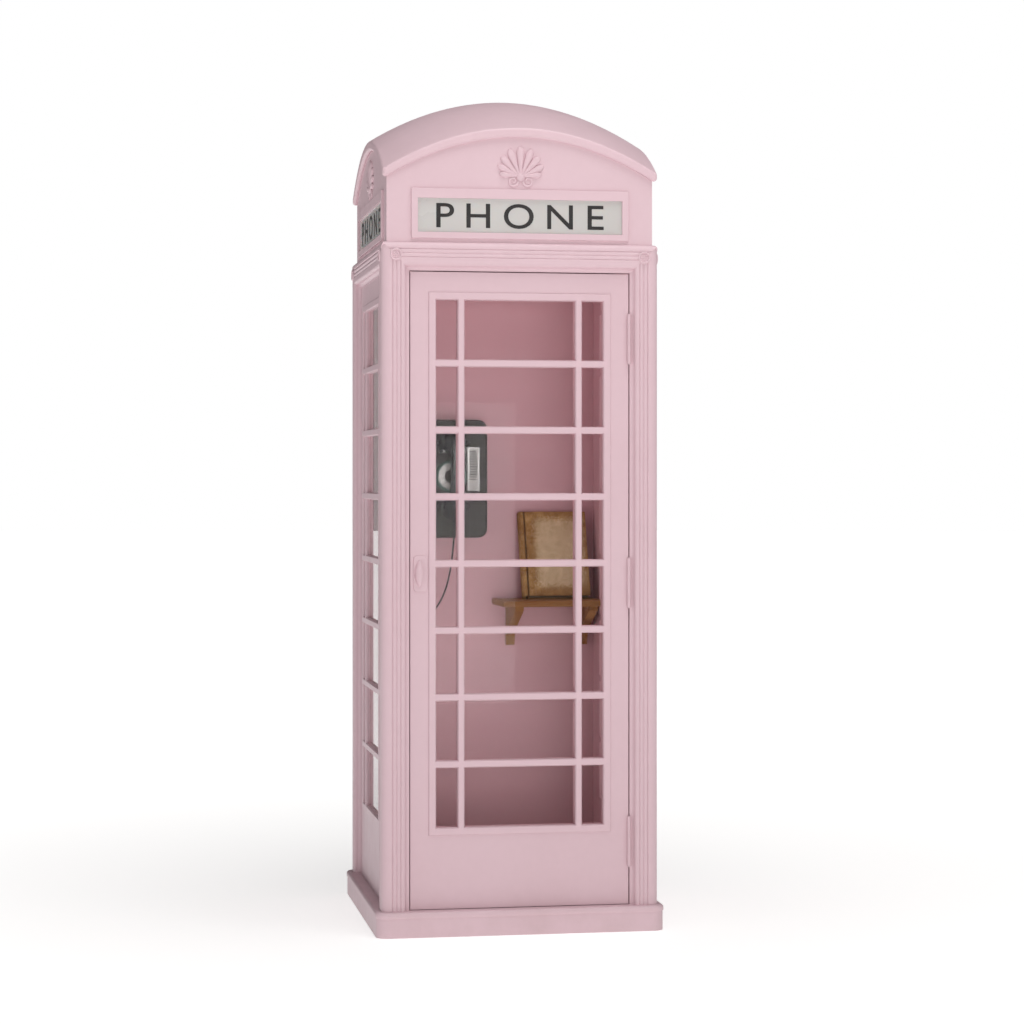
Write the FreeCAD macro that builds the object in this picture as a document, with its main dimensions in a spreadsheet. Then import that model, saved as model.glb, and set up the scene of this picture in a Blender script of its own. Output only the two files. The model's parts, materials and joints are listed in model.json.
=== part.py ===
"""A cast-iron street telephone booth with a glazed door, a lit sign on each side and a wall telephone.

Millimetres. The origin is the middle of the base on the ground, +Z is up, the door faces -Y and the
hinges are on its +X side. Left is -X.
"""
import math
import os

import FreeCAD, Part
import Sketcher
from FreeCAD import Placement, Rotation, Vector

os.makedirs("parts", exist_ok=True)
doc = FreeCAD.newDocument("booth")

SIZES = {
    # cabin
    "body_side": (825, "outside width of the cabin over the posts, the same both ways"),
    "casting_depth": (37.5, "depth of a post or head casting from its face to the cabin"),
    "trim_width": (83.5, "width of the reeded trim on the posts and the head"),
    "set_back": (22, "door and side panels behind the face of the posts"),
    "plinth_proud": (18, "plinth in front of the face of the posts"),
    "plinth_height": (74.5, "ground to the top of the plinth"),
    "plinth_corner": (35, "corner radius of the plinth"),
    "plinth_roll": (17.5, "height of the rounded roll on top of the plinth"),
    "floor_inset": (41.5, "edge of the floor slab behind the face of the posts"),
    "floor_drop": (4, "floor slab below the top of the plinth"),
    "head_top": (2029, "ground to the top of the head"),
    "post_roll": (25, "radius of the corner of a post"),
    "head_roll": (16, "radius of the top edge of the head"),
    "post_reed": (32, "corner of a post to its first groove"),
    "head_reed": (21, "top of the head to its first groove"),
    "reed_pitch": (12.3, "from groove to groove"),
    "groove": (3, "depth of the grooves"),
    "reed_lip": (3, "run of the curve between a groove and the flat beside it"),
    "post_flat": (0.4, "flat between a post's last groove and its ogee"),
    "head_flat": (11.4, "flat between the head's last groove and its ogee"),
    "ogee_depth": (20, "how far the ogee steps in"),
    # windows
    "stile_width": (54, "edge of the door to the window's frame"),
    "glass_bottom": (314, "ground to the bottom of the glass"),
    "glass_drop": (84.5, "bottom of the head to the top of the glass"),
    "bar_width": (21, "width of a glazing bar"),
    "narrow_pane": (64, "width of the side columns of panes"),
    "window_rim": (22.5, "width of the window's frame round the glass"),
    "window_proud": (4, "window frame in front of the door or side panel"),
    "bar_bevel": (5, "bevel on the glazing bars"),
    "panel_thick": (20, "thickness of a side panel"),
    "glass_thick": (4, "thickness of the glass"),
    # door
    "door_thick": (38, "thickness of the door"),
    "door_gap": (3, "gap round the door"),
    "threshold_gap": (2, "door above the plinth"),
    "knuckle_radius": (5, "outside radius of a hinge knuckle"),
    "pin_radius": (2.5, "radius of a hinge pin"),
    "pin_play": (0.05, "radial play on a hinge pin"),
    "hinge_inset": (3, "hinge pin to the face of the jamb"),
    "hinge_stand": (7, "hinge pin in front of the door"),
    "hinge_height": (145, "height of a hinge"),
    "leaf_thick": (1.2, "thickness of a hinge leaf"),
    # roof
    "fascia_inset": (16, "fascia behind the face of the posts"),
    "fascia_thick": (12, "thickness of a fascia"),
    "roof_rise": (465, "top of the head to the top of the roof"),
    "roof_inset": (2.5, "roof's rim behind the face of the posts"),
    "roof_fall": (128, "fall of the roof from its top to the middle of a side"),
    "rim_height": (34, "height of the roof's rim"),
    "rim_nose": (9, "radius of the rim's outer edges"),
    "roof_thick": (12, "thickness of the roof"),
    "sign_inset": (72.5, "edge of a fascia to its sign frame"),
    "sign_rise": (11, "top of the head to the bottom of a sign frame"),
    "sign_height": (147, "height of a sign frame"),
    "sign_proud": (7, "sign frame in front of the fascia"),
    "sign_side": (19, "width of the sides of a sign frame"),
    "sign_sill": (18, "width of the bottom of a sign frame"),
    "sign_glass_height": (100, "height of the sign glass that shows"),
    # telephone
    "case_left": (-240, "left side of the telephone case"),
    "case_width": (252, "width of the telephone case"),
    "case_bottom": (1148, "ground to the bottom of the telephone case"),
    "case_height": (378, "height of the telephone case"),
    "case_depth": (82, "depth of the telephone case"),
    "case_corner": (30, "corner radius of the telephone case"),
    "case_wall": (3, "wall of the telephone case"),
    "dial_x": (-106, "middle of the dial, across"),
    "dial_z": (1345, "middle of the dial, up"),
    "bezel_radius": (52, "outside radius of the dial"),
    "wheel_radius": (41.5, "radius of the finger wheel"),
    "handset_x": (-103, "middle of the handset, across"),
    "cup_radius": (40, "radius of the caps on the handset's cups"),
    "ear_z": (1453, "middle of the ear cup, up"),
    "mouth_z": (1245, "middle of the mouth cup, up"),
    "cord_radius": (2.5, "radius of the handset cord"),
    # shelf and book
    "shelf_top": (950, "ground to the top of the shelf"),
    "shelf_thick": (19, "thickness of the shelf"),
    "shelf_left": (40, "left end of the shelf"),
    "shelf_depth": (230, "depth of the shelf"),
    "book_width": (218, "width of the book"),
    "book_height": (285, "height of the book"),
    "book_thick": (34, "thickness of the book"),
    "book_lean": (20, "lean of the book against the wall, in degrees"),
}


class Size:
    """A number with the sheet formula that it comes from, so that both stay the same."""

    def __init__(self, number, formula=None):
        self.number = float(number)
        self.formula = formula or repr(self.number)

    def join(self, other, sign, number, swap=False):
        other = other if isinstance(other, Size) else Size(other)
        first, second = (other, self) if swap else (self, other)
        return Size(number(first.number, second.number), f"({first.formula} {sign} {second.formula})")

    def __add__(self, other):
        return self.join(other, "+", lambda a, b: a + b)

    def __radd__(self, other):
        return self.join(other, "+", lambda a, b: a + b, True)

    def __sub__(self, other):
        return self.join(other, "-", lambda a, b: a - b)

    def __rsub__(self, other):
        return self.join(other, "-", lambda a, b: a - b, True)

    def __mul__(self, other):
        return self.join(other, "*", lambda a, b: a * b)

    def __rmul__(self, other):
        return self.join(other, "*", lambda a, b: a * b, True)

    def __truediv__(self, other):
        return self.join(other, "/", lambda a, b: a / b)

    def __neg__(self):
        return 0 - self

    def __float__(self):
        return self.number


def root(value):
    """The square root of a size."""
    return Size(math.sqrt(value.number), f"sqrt({value.formula})")


def size(value):
    return value if isinstance(value, Size) else Size(value)


def make_sheet():
    """Puts the driving dimensions in the sheet, and gives them by name."""
    sheet = doc.addObject("Spreadsheet::Sheet", "sizes")
    named = {}
    for row, (name, (value, meaning)) in enumerate(SIZES.items(), start=1):
        sheet.set(f"A{row}", str(value))
        sheet.setAlias(f"A{row}", name)
        sheet.set(f"B{row}", "'" + meaning)
        named[name] = Size(value, f"sizes.{name}")
    doc.recompute()
    return type("Sizes", (), named)


S = make_sheet()
HALF = S.body_side / 2
INSIDE = HALF - S.casting_depth          # middle to the cabin's inner face
DOOR_FACE = HALF - S.set_back            # middle to the face of the door and the side panels
JAMB = HALF - S.trim_width               # middle to the jambs
HEAD_BOTTOM = S.head_top - S.trim_width
DOOR_BOTTOM = S.plinth_height + S.threshold_gap
DOOR_TOP = HEAD_BOTTOM - S.door_gap
DOOR_HALF = JAMB - S.door_gap
ROWS = 8
GLASS_TOP = HEAD_BOTTOM - S.glass_drop
ROW_PITCH = (GLASS_TOP - S.glass_bottom + S.bar_width) / ROWS
PANE_HEIGHT = ROW_PITCH - S.bar_width
WINDOW_HALF = DOOR_HALF - S.stile_width
GLASS_HALF = WINDOW_HALF - S.window_rim
WINDOW_BOTTOM = S.glass_bottom - S.window_rim
WINDOW_TOP = GLASS_TOP + S.window_rim
FASCIA_FACE = HALF - S.fascia_inset
FASCIA_BACK = FASCIA_FACE - S.fascia_thick
FLOOR_HALF = HALF - S.floor_inset
ROOF_TOP = S.head_top + S.roof_rise
ROOF_HALF = HALF - S.roof_inset
SIGN_HALF = FASCIA_FACE - S.sign_inset
SIGN_BOTTOM = S.head_top + S.sign_rise
SIGN_GLASS_HALF = SIGN_HALF - S.sign_side
SIGN_GLASS_BOTTOM = SIGN_BOTTOM + S.sign_sill
PIN_X = JAMB - S.hinge_inset
PIN_Y = -DOOR_FACE - S.hinge_stand
CASE_FRONT = INSIDE - S.case_wall - S.case_depth
CASE_RIGHT = S.case_left + S.case_width
SNUG = 0.3                               # clearance where one piece sits in another
SIDES = ("front", "right", "back", "left")
made = {}


# ---------------------------------------------------------------- building blocks

def bind(thing, **formulas):
    """Binds properties to sheet formulas; an underscore in a name stands for a dot."""
    for name, value in formulas.items():
        thing.setExpression(name.replace("_", "."), size(value).formula)


def place(thing, x=0, y=0, z=0):
    """Binds where a thing stands, leaving it unturned."""
    for axis, value in zip("xyz", (x, y, z)):
        thing.setExpression(f"Placement.Base.{axis}", size(value).formula)
    return thing


def named(thing, node):
    """Makes a thing the sub-part of that name."""
    thing.Label = node
    made[node] = thing
    return thing


def box(x0, x1, y0, y1, z0, z1):
    """A box between two values on each axis."""
    piece = doc.addObject("Part::Box", "box")
    bind(piece, Length=size(x1) - x0, Width=size(y1) - y0, Height=size(z1) - z0)
    return place(piece, x0, y0, z0)


TURNS = {"z": Rotation(), "y": Rotation(Vector(1, 0, 0), -90), "x": Rotation(Vector(0, 1, 0), 90)}


def rod(radius, length, x, y, z, axis="z"):
    """A cylinder that starts at a point and runs along +X, +Y or +Z."""
    piece = doc.addObject("Part::Cylinder", "rod")
    piece.Placement = Placement(Vector(), TURNS[axis])
    bind(piece, Radius=radius, Height=length)
    return place(piece, x, y, z)


def cut(base, *tools):
    """The first piece without the others."""
    for tool in tools:
        result = doc.addObject("Part::Cut", "cut")
        result.Base, result.Tool = base, tool
        base = result
    return base


def fuse(*pieces):
    """One piece made of several that meet."""
    result = doc.addObject("Part::MultiFuse", "fuse")
    result.Shapes = list(pieces)
    return result


def common(first, second):
    """What two pieces share."""
    result = doc.addObject("Part::Common", "common")
    result.Base, result.Tool = first, second
    return result


def group(*pieces):
    """Separate solids in one object."""
    result = doc.addObject("Part::Compound", "group")
    result.Links = list(pieces)
    return result


def shaped(shape):
    """An object for a shape worked out with Part's own functions."""
    piece = doc.addObject("Part::Feature", "shaped")
    piece.Shape = shape
    return piece


def new_body(node):
    return named(doc.addObject("PartDesign::Body", node), node)


def new_sketch(body, plane, offset=0):
    """A sketch on one of the body's own planes, moved along the plane's normal."""
    sketch = body.newObject("Sketcher::SketchObject", "sketch")
    origin_plane = next(f for f in body.Origin.OriginFeatures if f.Role == plane)
    sketch.AttachmentSupport = [(origin_plane, "")]
    sketch.MapMode = "FlatFace"
    sketch.setExpression("AttachmentOffset.Base.z", size(offset).formula)
    return sketch


def arc_between(start, end, radius):
    """The short arc that bulges to the right of the way from start to end, or to the left if negative."""
    if radius < 0:
        start, end = end, start
    middle, chord = (start + end) / 2, end - start
    rise = math.sqrt(max(radius * radius - chord.Length ** 2 / 4, 0))
    centre = middle + Vector(-chord.y, chord.x, 0).normalize() * rise
    first = math.atan2(start.y - centre.y, start.x - centre.x)
    last = math.atan2(end.y - centre.y, end.x - centre.x)
    last += 2 * math.pi if last < first else 0
    return Part.ArcOfCircle(Part.Circle(centre, Vector(0, 0, 1), abs(radius)), first, last)


def outline(sketch, corners):
    """Draws a closed outline, anticlockwise.

    A corner is (u, v) or (u, v, radius): the radius is that of the arc to the next corner, which
    bulges outwards, or inwards if it is negative.
    """
    first = sketch.GeometryCount
    points = [Vector(float(c[0]), float(c[1]), 0) for c in corners]
    ends = []
    for i, corner in enumerate(corners):
        here, there = points[i], points[(i + 1) % len(points)]
        radius = float(corner[2]) if len(corner) == 3 else 0
        line = arc_between(here, there, radius) if radius else Part.LineSegment(here, there)
        sketch.addGeometry(line)
        ends.append((2, 1) if radius < 0 else (1, 2))
    for i, corner in enumerate(corners):
        after = (i + 1) % len(corners)
        joined = ("Coincident", first + i, ends[i][1], first + after, ends[after][0])
        sketch.addConstraint(Sketcher.Constraint(*joined))
        for kind, value in (("DistanceX", corner[0]), ("DistanceY", corner[1])):
            fixed = Sketcher.Constraint(kind, -1, 1, first + i, ends[i][0], float(value))
            number = sketch.addConstraint(fixed)
            sketch.setExpression(f"Constraints[{number}]", size(value).formula)
        if len(corner) == 3:
            fixed = Sketcher.Constraint("Radius", first + i, abs(float(corner[2])))
            number = sketch.addConstraint(fixed)
            radius = size(corner[2])
            radius = radius if radius.number > 0 else -radius
            sketch.setExpression(f"Constraints[{number}]", radius.formula)
    return sketch


def rectangle(sketch, u0, u1, v0, v1):
    return outline(sketch, [(u0, v0), (u1, v0), (u1, v1), (u0, v1)])


def round_rectangle(sketch, u0, u1, v0, v1, radius):
    u0, u1, v0, v1 = size(u0), size(u1), size(v0), size(v1)
    return outline(sketch, [
        (u0 + radius, v0), (u1 - radius, v0, radius), (u1, v0 + radius), (u1, v1 - radius, radius),
        (u1 - radius, v1), (u0 + radius, v1, radius), (u0, v1 - radius), (u0, v0 + radius, radius)])


def circle(sketch, u, v, radius):
    centre = Vector(float(u), float(v), 0)
    number = sketch.addGeometry(Part.Circle(centre, Vector(0, 0, 1), float(radius)))
    for kind, value in (("DistanceX", u), ("DistanceY", v)):
        fixed = sketch.addConstraint(Sketcher.Constraint(kind, -1, 1, number, 3, float(value)))
        sketch.setExpression(f"Constraints[{fixed}]", size(value).formula)
    fixed = sketch.addConstraint(Sketcher.Constraint("Radius", number, float(radius)))
    sketch.setExpression(f"Constraints[{fixed}]", size(radius).formula)
    return sketch


def pad(body, sketch, length, back=False, both=False, taper=0):
    feature = body.newObject("PartDesign::Pad", "pad")
    feature.Profile = sketch
    feature.Reversed = back
    feature.SideType = "Symmetric" if both else "One side"
    feature.TaperAngle = taper
    bind(feature, Length=length)
    return feature


def pocket(body, sketch, length=None, back=False, both=False, taper=0):
    """Cuts a sketch out of the body, all the way when there is no length, and checks that it did."""
    doc.recompute()
    before = body.Shape.Volume
    feature = body.newObject("PartDesign::Pocket", "pocket")
    feature.Profile = sketch
    feature.Reversed = back
    feature.SideType = "Symmetric" if both else "One side"
    if length is None:
        feature.Type = "ThroughAll"
    else:
        feature.TaperAngle = taper
        bind(feature, Length=length)
    doc.recompute()
    if not body.Shape.Volume < before - 1:
        raise ValueError(f"a pocket of {body.Label} cut nothing")
    return feature


def repeat(body, originals, axis, pitch, count):
    """Repeats features along an axis of the body."""
    row = body.newObject("PartDesign::LinearPattern", "row")
    row.Originals = originals
    row.Direction = (next(f for f in body.Origin.OriginFeatures if f.Role == axis), [""])
    row.Mode = "Spacing"
    row.Occurrences = count
    bind(row, Offset=pitch)
    body.Tip = row
    return row


def revolve(body, sketch, axis, angle=360):
    feature = body.newObject("PartDesign::Revolution", "turned")
    feature.Profile = sketch
    feature.ReferenceAxis = (next(f for f in body.Origin.OriginFeatures if f.Role == axis), [""])
    feature.Angle = angle
    return feature


def fillet(body, radius, wanted, kind="PartDesign::Fillet"):
    """Rounds, or bevels, the body's edges that pass a test on their middle points and boxes."""
    doc.recompute()
    tip = body.Tip
    names = [f"Edge{i + 1}" for i, edge in enumerate(tip.Shape.Edges)
             if wanted(edge.CenterOfMass, edge.BoundBox)]
    feature = body.newObject(kind, "edge")
    feature.Base = (tip, names)
    feature.setExpression("Radius" if kind.endswith("Fillet") else "Size", size(radius).formula)
    return feature


def turned(thing, side, x=0, y=0, z=0):
    """Binds the placement of a piece drawn for the front so that it stands on another side."""
    quarter = SIDES.index(side)
    thing.Placement = Placement(Vector(), Rotation(Vector(0, 0, 1), 90 * quarter))
    x, y = [(x, y), (-size(y), x), (-size(x), -size(y)), (y, -size(x))][quarter]
    return place(thing, x, y, z)


# ---------------------------------------------------------------- base and posts

ROLL_PROUD = 2.5                         # roll of the plinth in front of its lower part
FLOOR_GAP = 0.5                          # between the floor slab and the plinth
ANCHOR_RADIUS, ANCHOR_INSET = 7, 61
CABLE_RADIUS, CABLE_INSET = 16, 71
ROSETTE_IN, ROSETTE_DOWN = 42.5, 38      # middle of a rosette from the edge and the top of a side
ROSETTE_RADIUS, ROSETTE_PROUD = 18.5, 4
DISH_RADIUS, DISH_DEPTH = 13, 2
BUTTON_RADIUS, BUTTON_PROUD = 5, 3.5


def make_plinth():
    body = new_body("plinth")
    half = HALF + S.plinth_proud
    low = half - ROLL_PROUD
    seam = S.plinth_height - S.plinth_roll
    lower = round_rectangle(new_sketch(body, "XY_Plane"), -low, low, -low, low,
                            S.plinth_corner - ROLL_PROUD)
    pad(body, lower, seam)
    roll = round_rectangle(new_sketch(body, "XY_Plane", seam), -half, half, -half, half, S.plinth_corner)
    pad(body, roll, S.plinth_roll)
    fillet(body, S.plinth_roll * 0.5, lambda c, b: b.ZMin > float(S.plinth_height) - 0.01)
    fillet(body, ROLL_PROUD * 0.9, lambda c, b: b.ZLength < 0.01 and abs(c.z - float(seam)) < 0.01
           and max(b.XMax, b.YMax, -b.XMin, -b.YMin) > float(half) - 0.01)
    inner = FLOOR_HALF + FLOOR_GAP
    pocket(body, rectangle(new_sketch(body, "XY_Plane"), -inner, inner, -inner, inner), back=True)


def make_floor():
    half = FLOOR_HALF
    height = S.plinth_height - S.floor_drop
    anchor = half - ANCHOR_INSET
    slab = box(-half, half, -half, half, 0, height)
    holes = [rod(ANCHOR_RADIUS, height, x, y, 0) for x in (-anchor, anchor) for y in (-anchor, anchor)]
    inlet = rod(CABLE_RADIUS, height, 0, half - CABLE_INSET, 0)
    named(cut(slab, *holes, inlet), "floor_slab")


def bulge(chord, rise):
    """The radius of an arc over a chord with a given rise."""
    return (size(chord) * chord / 4 + size(rise) * rise) / (2 * size(rise))


def ease(run, rise):
    """The radius of an arc that leaves a line smoothly and rises over a run."""
    return (size(run) * run + size(rise) * rise) / (2 * size(rise))


def reeded_face(roll, reed, flat):
    """The face of the trim as (distance from its edge, depth, radius), from the roll to its inner edge."""
    groove = bulge(S.reed_pitch, S.groove)
    lip = S.reed_lip
    last = reed + S.reed_pitch * 2
    ogee = last + lip + flat
    reach = (S.trim_width - 1 - ogee) / 2
    half_depth = S.ogee_depth / 2
    return [
        (roll, 0), (reed - lip, 0, ease(lip, S.groove)), (reed, S.groove, groove),
        (reed + S.reed_pitch, S.groove, groove), (last, S.groove, ease(lip, S.groove)),
        (last + lip, 0), (ogee, 0, ease(reach, half_depth)),
        (ogee + reach, half_depth, -ease(reach, half_depth)),
        (S.trim_width - 1, S.ogee_depth), (S.trim_width, S.ogee_depth)]


def make_post(side):
    """An L-shaped corner casting with the reeded trim on both outer faces, mitred at the top."""
    names = {"front": "front_left", "right": "front_right", "back": "rear_right", "left": "rear_left"}
    body = new_body(f"post_{names[side]}")
    face = reeded_face(S.post_roll, S.post_reed, S.post_flat)
    # the other face is the same, mirrored, so its arcs belong to the corner before
    radii = [corner[2] if len(corner) == 3 else None for corner in face]
    mirrored = []
    for i in range(len(face) - 1, -1, -1):
        radius = radii[i - 1] if i else S.post_roll
        mirrored.append((face[i][1], face[i][0]) + ((radius,) if radius is not None else ()))
    inner = [(S.trim_width, S.casting_depth), (S.casting_depth, S.casting_depth),
             (S.casting_depth, S.trim_width)]
    section = outline(new_sketch(body, "XY_Plane"), face + inner + mirrored)
    height = S.head_top - S.plinth_height
    pad(body, section, height)
    beyond = S.trim_width + 10
    corner = [(-10, height + 10), (-10, height), (0, height), (beyond, height - beyond),
              (beyond, height + 10)]
    for plane in ("XZ_Plane", "YZ_Plane"):
        mitre = outline(new_sketch(body, plane), list(corner))
        pocket(body, mitre, both=True)
    turned(body, side, -HALF, -HALF, S.plinth_height)


def make_head(side):
    """A lintel with the reeded trim, mitred against the posts and the lintels beside it."""
    body = new_body(f"head_{side}")
    face = reeded_face(S.head_roll, S.head_reed, S.head_flat)
    down = [(0, -S.head_roll)] + [(c[1], -c[0]) + tuple(c[2:]) for c in face[1:]]
    profile = [(S.casting_depth, 0), (S.head_roll, 0, S.head_roll)] + down
    profile += [(S.casting_depth, -S.trim_width)]
    pad(body, outline(new_sketch(body, "YZ_Plane"), profile), S.body_side, both=True)
    beyond = S.trim_width + 10
    for hand in (-1, 1):
        front = [(hand * (HALF + 10), 10), (hand * (HALF + 10), -beyond),
                 (hand * (HALF - beyond), -beyond), (hand * HALF, 0), (hand * HALF, 10)]
        above = [(hand * (HALF + 10), -10), (hand * (HALF + 10), beyond),
                 (hand * (HALF - beyond), beyond), (hand * HALF, 0), (hand * HALF, -10)]
        for plane, corners, order in (("XZ_Plane", front, 1), ("XY_Plane", above, -1)):
            corners = corners[::-hand * order]
            pocket(body, outline(new_sketch(body, plane), corners), both=True)
    turned(body, side, 0, -HALF, S.head_top)


def make_rosettes():
    """The turned bosses where the reeds of the posts meet those of the head, two on each side."""
    bosses = []
    for quarter in range(4):
        turn = Placement(Vector(), Rotation(Vector(0, 0, 1), 90 * quarter))
        for hand in (-1, 1):
            x = hand * (float(HALF) - ROSETTE_IN)
            z = float(S.head_top) - ROSETTE_DOWN
            start = Vector(x, -float(HALF), z)
            floor = start + Vector(0, DISH_DEPTH - ROSETTE_PROUD, 0)
            disc = Part.makeCylinder(ROSETTE_RADIUS, ROSETTE_PROUD, start, Vector(0, -1, 0))
            dish = Part.makeCylinder(DISH_RADIUS, DISH_DEPTH, floor, Vector(0, -1, 0))
            button = Part.makeCylinder(BUTTON_RADIUS, BUTTON_PROUD, start, Vector(0, -1, 0))
            boss = disc.cut(dish).fuse(button)
            bosses.append(boss.transformGeometry(turn.toMatrix()) if quarter else boss)
    named(shaped(Part.makeCompound(bosses)), "rosettes")


# ---------------------------------------------------------------- windows

UPRIGHT_THINNER = 1                      # upright glazing bars are this much thinner than the others
WINDOW_ROUND = 3                         # radius of the window frame's front edges
BEVEL_SLOPE = 0.6                        # of a glazing bar's bevel: across over deep
PANE_GAP = 0.2
SIDE_GLASS_DEPTH, DOOR_GLASS_DEPTH = 8, 15    # from the panel's or the door's face to its glass
FIELD_TAPER = 30                         # degrees, on the edges of the back panel's raised field


def pane_columns():
    """The left and right edges of the three columns of panes."""
    bar_left = -GLASS_HALF + S.narrow_pane
    wide_left = bar_left + S.bar_width - UPRIGHT_THINNER
    return [(-GLASS_HALF, bar_left), (wide_left, -wide_left), (-bar_left, GLASS_HALF)]


def make_window(node, face, thick):
    """A cast window frame with its glazing bars, drawn looking along +Y at the front side."""
    body = new_body(node)
    near = face + S.window_proud
    edge = rectangle(new_sketch(body, "XZ_Plane", near), -WINDOW_HALF + SNUG, WINDOW_HALF - SNUG,
                     WINDOW_BOTTOM + SNUG, WINDOW_TOP - SNUG)
    pad(body, edge, thick + S.window_proud, back=True)
    fillet(body, WINDOW_ROUND, lambda c, b: abs(c.y + float(near)) < 0.01)
    row = new_sketch(body, "XZ_Plane", near)
    bevels = new_sketch(body, "XZ_Plane", near)
    slope = S.bar_bevel * BEVEL_SLOPE
    for left, right in pane_columns():
        rectangle(row, left, right, S.glass_bottom, S.glass_bottom + PANE_HEIGHT)
        rectangle(bevels, left - slope, right + slope, S.glass_bottom - slope,
                  S.glass_bottom + PANE_HEIGHT + slope)
    through = pocket(body, row)
    bevel = pocket(body, bevels, S.bar_bevel, taper=-math.degrees(math.atan(BEVEL_SLOPE)))
    repeat(body, [through, bevel], "Z_Axis", ROW_PITCH, ROWS)
    return body


def make_panes(node, face, depth):
    """The panes of one window, each a separate sheet of glass between the bars."""
    panes = []
    for row in range(ROWS):
        low = S.glass_bottom + ROW_PITCH * row
        for left, right in pane_columns():
            panes.append(box(left + PANE_GAP, right - PANE_GAP, -face + depth,
                             -face + depth + S.glass_thick, low + PANE_GAP,
                             low + PANE_HEIGHT - PANE_GAP))
    return named(group(*panes), node)


def make_side_wall(side):
    """A side panel between two posts, with its window and glass."""
    body = new_body(f"side_panel_{side}")
    sketch = rectangle(new_sketch(body, "XZ_Plane", DOOR_FACE), -JAMB, JAMB,
                       S.plinth_height, HEAD_BOTTOM)
    pad(body, sketch, S.panel_thick, back=True)
    hole = rectangle(new_sketch(body, "XZ_Plane", DOOR_FACE), -WINDOW_HALF, WINDOW_HALF,
                     WINDOW_BOTTOM, WINDOW_TOP)
    pocket(body, hole)
    turned(body, side)
    turned(make_window(f"side_window_{side}", DOOR_FACE, S.panel_thick), side)
    turned(make_panes(f"side_panes_{side}", DOOR_FACE, SIDE_GLASS_DEPTH), side)


def make_back_panel():
    body = new_body("back_panel")
    thick = S.casting_depth - S.set_back
    sketch = rectangle(new_sketch(body, "XZ_Plane", DOOR_FACE), -JAMB, JAMB,
                       S.plinth_height, HEAD_BOTTOM)
    pad(body, sketch, thick, back=True)
    field = rectangle(new_sketch(body, "XZ_Plane", DOOR_FACE), -WINDOW_HALF, WINDOW_HALF,
                      WINDOW_BOTTOM, WINDOW_TOP)
    pad(body, field, S.window_proud, taper=-FIELD_TAPER)
    turned(body, "back")


# ---------------------------------------------------------------- door

HINGE_LOW, HINGE_HIGH = 185.5, 192.5     # ends of the door to the middles of the outer hinges
HINGE_UP = 22                            # middle hinge above halfway between them
KNUCKLES = 5
KNUCKLE_GAP = 0.4
LEAF_DEPTH = 26                          # face of the door to the back edge of a hinge leaf
PIN_BEYOND, PIN_CAP, PIN_CAP_SMALLER = 2, 2.4, 0.6
PULL_X, PULL_Z = 30 - DOOR_HALF, 1058.5
PULL_WIDTH, PULL_HEIGHT, PULL_THICK = 41, 106, 3
PULL_CORNER, PULL_ROUND = 11, 1.5
PULL_CUP_HALF, PULL_CUP_DEPTH, PULL_CUP_WALL = 42, 16, 2.5
PULL_CUP_SWEEP = 112                     # degrees, from the left of the shell to its open edge
PULL_CUP_LEFT = 2                        # middle of the shell left of the middle of its plate
STOP_GAP, STOP_THICK = 0.5, 12           # door stops: behind the door, and from there to their back
STOP_REACH, STOP_TAIL = 13, 20           # door stops: over the opening, and behind the jamb
STOP_SHORT = 40                          # stop under the head: from the hinge jamb


def make_door():
    """Two stiles, a top rail and a kicking panel round the window."""
    front, back = -DOOR_FACE, -DOOR_FACE + S.door_thick
    named(box(WINDOW_HALF, DOOR_HALF, front, back, DOOR_BOTTOM, DOOR_TOP), "door_hinge_stile")
    named(box(-DOOR_HALF, -WINDOW_HALF, front, back, DOOR_BOTTOM, DOOR_TOP), "door_latch_stile")
    named(box(-WINDOW_HALF, WINDOW_HALF, front, back, WINDOW_TOP, DOOR_TOP), "door_top_rail")
    named(box(-WINDOW_HALF, WINDOW_HALF, front, back, DOOR_BOTTOM, WINDOW_BOTTOM), "door_kick_panel")
    make_window("door_window", DOOR_FACE, S.door_thick)
    make_panes("door_panes", DOOR_FACE, DOOR_GLASS_DEPTH)


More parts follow.
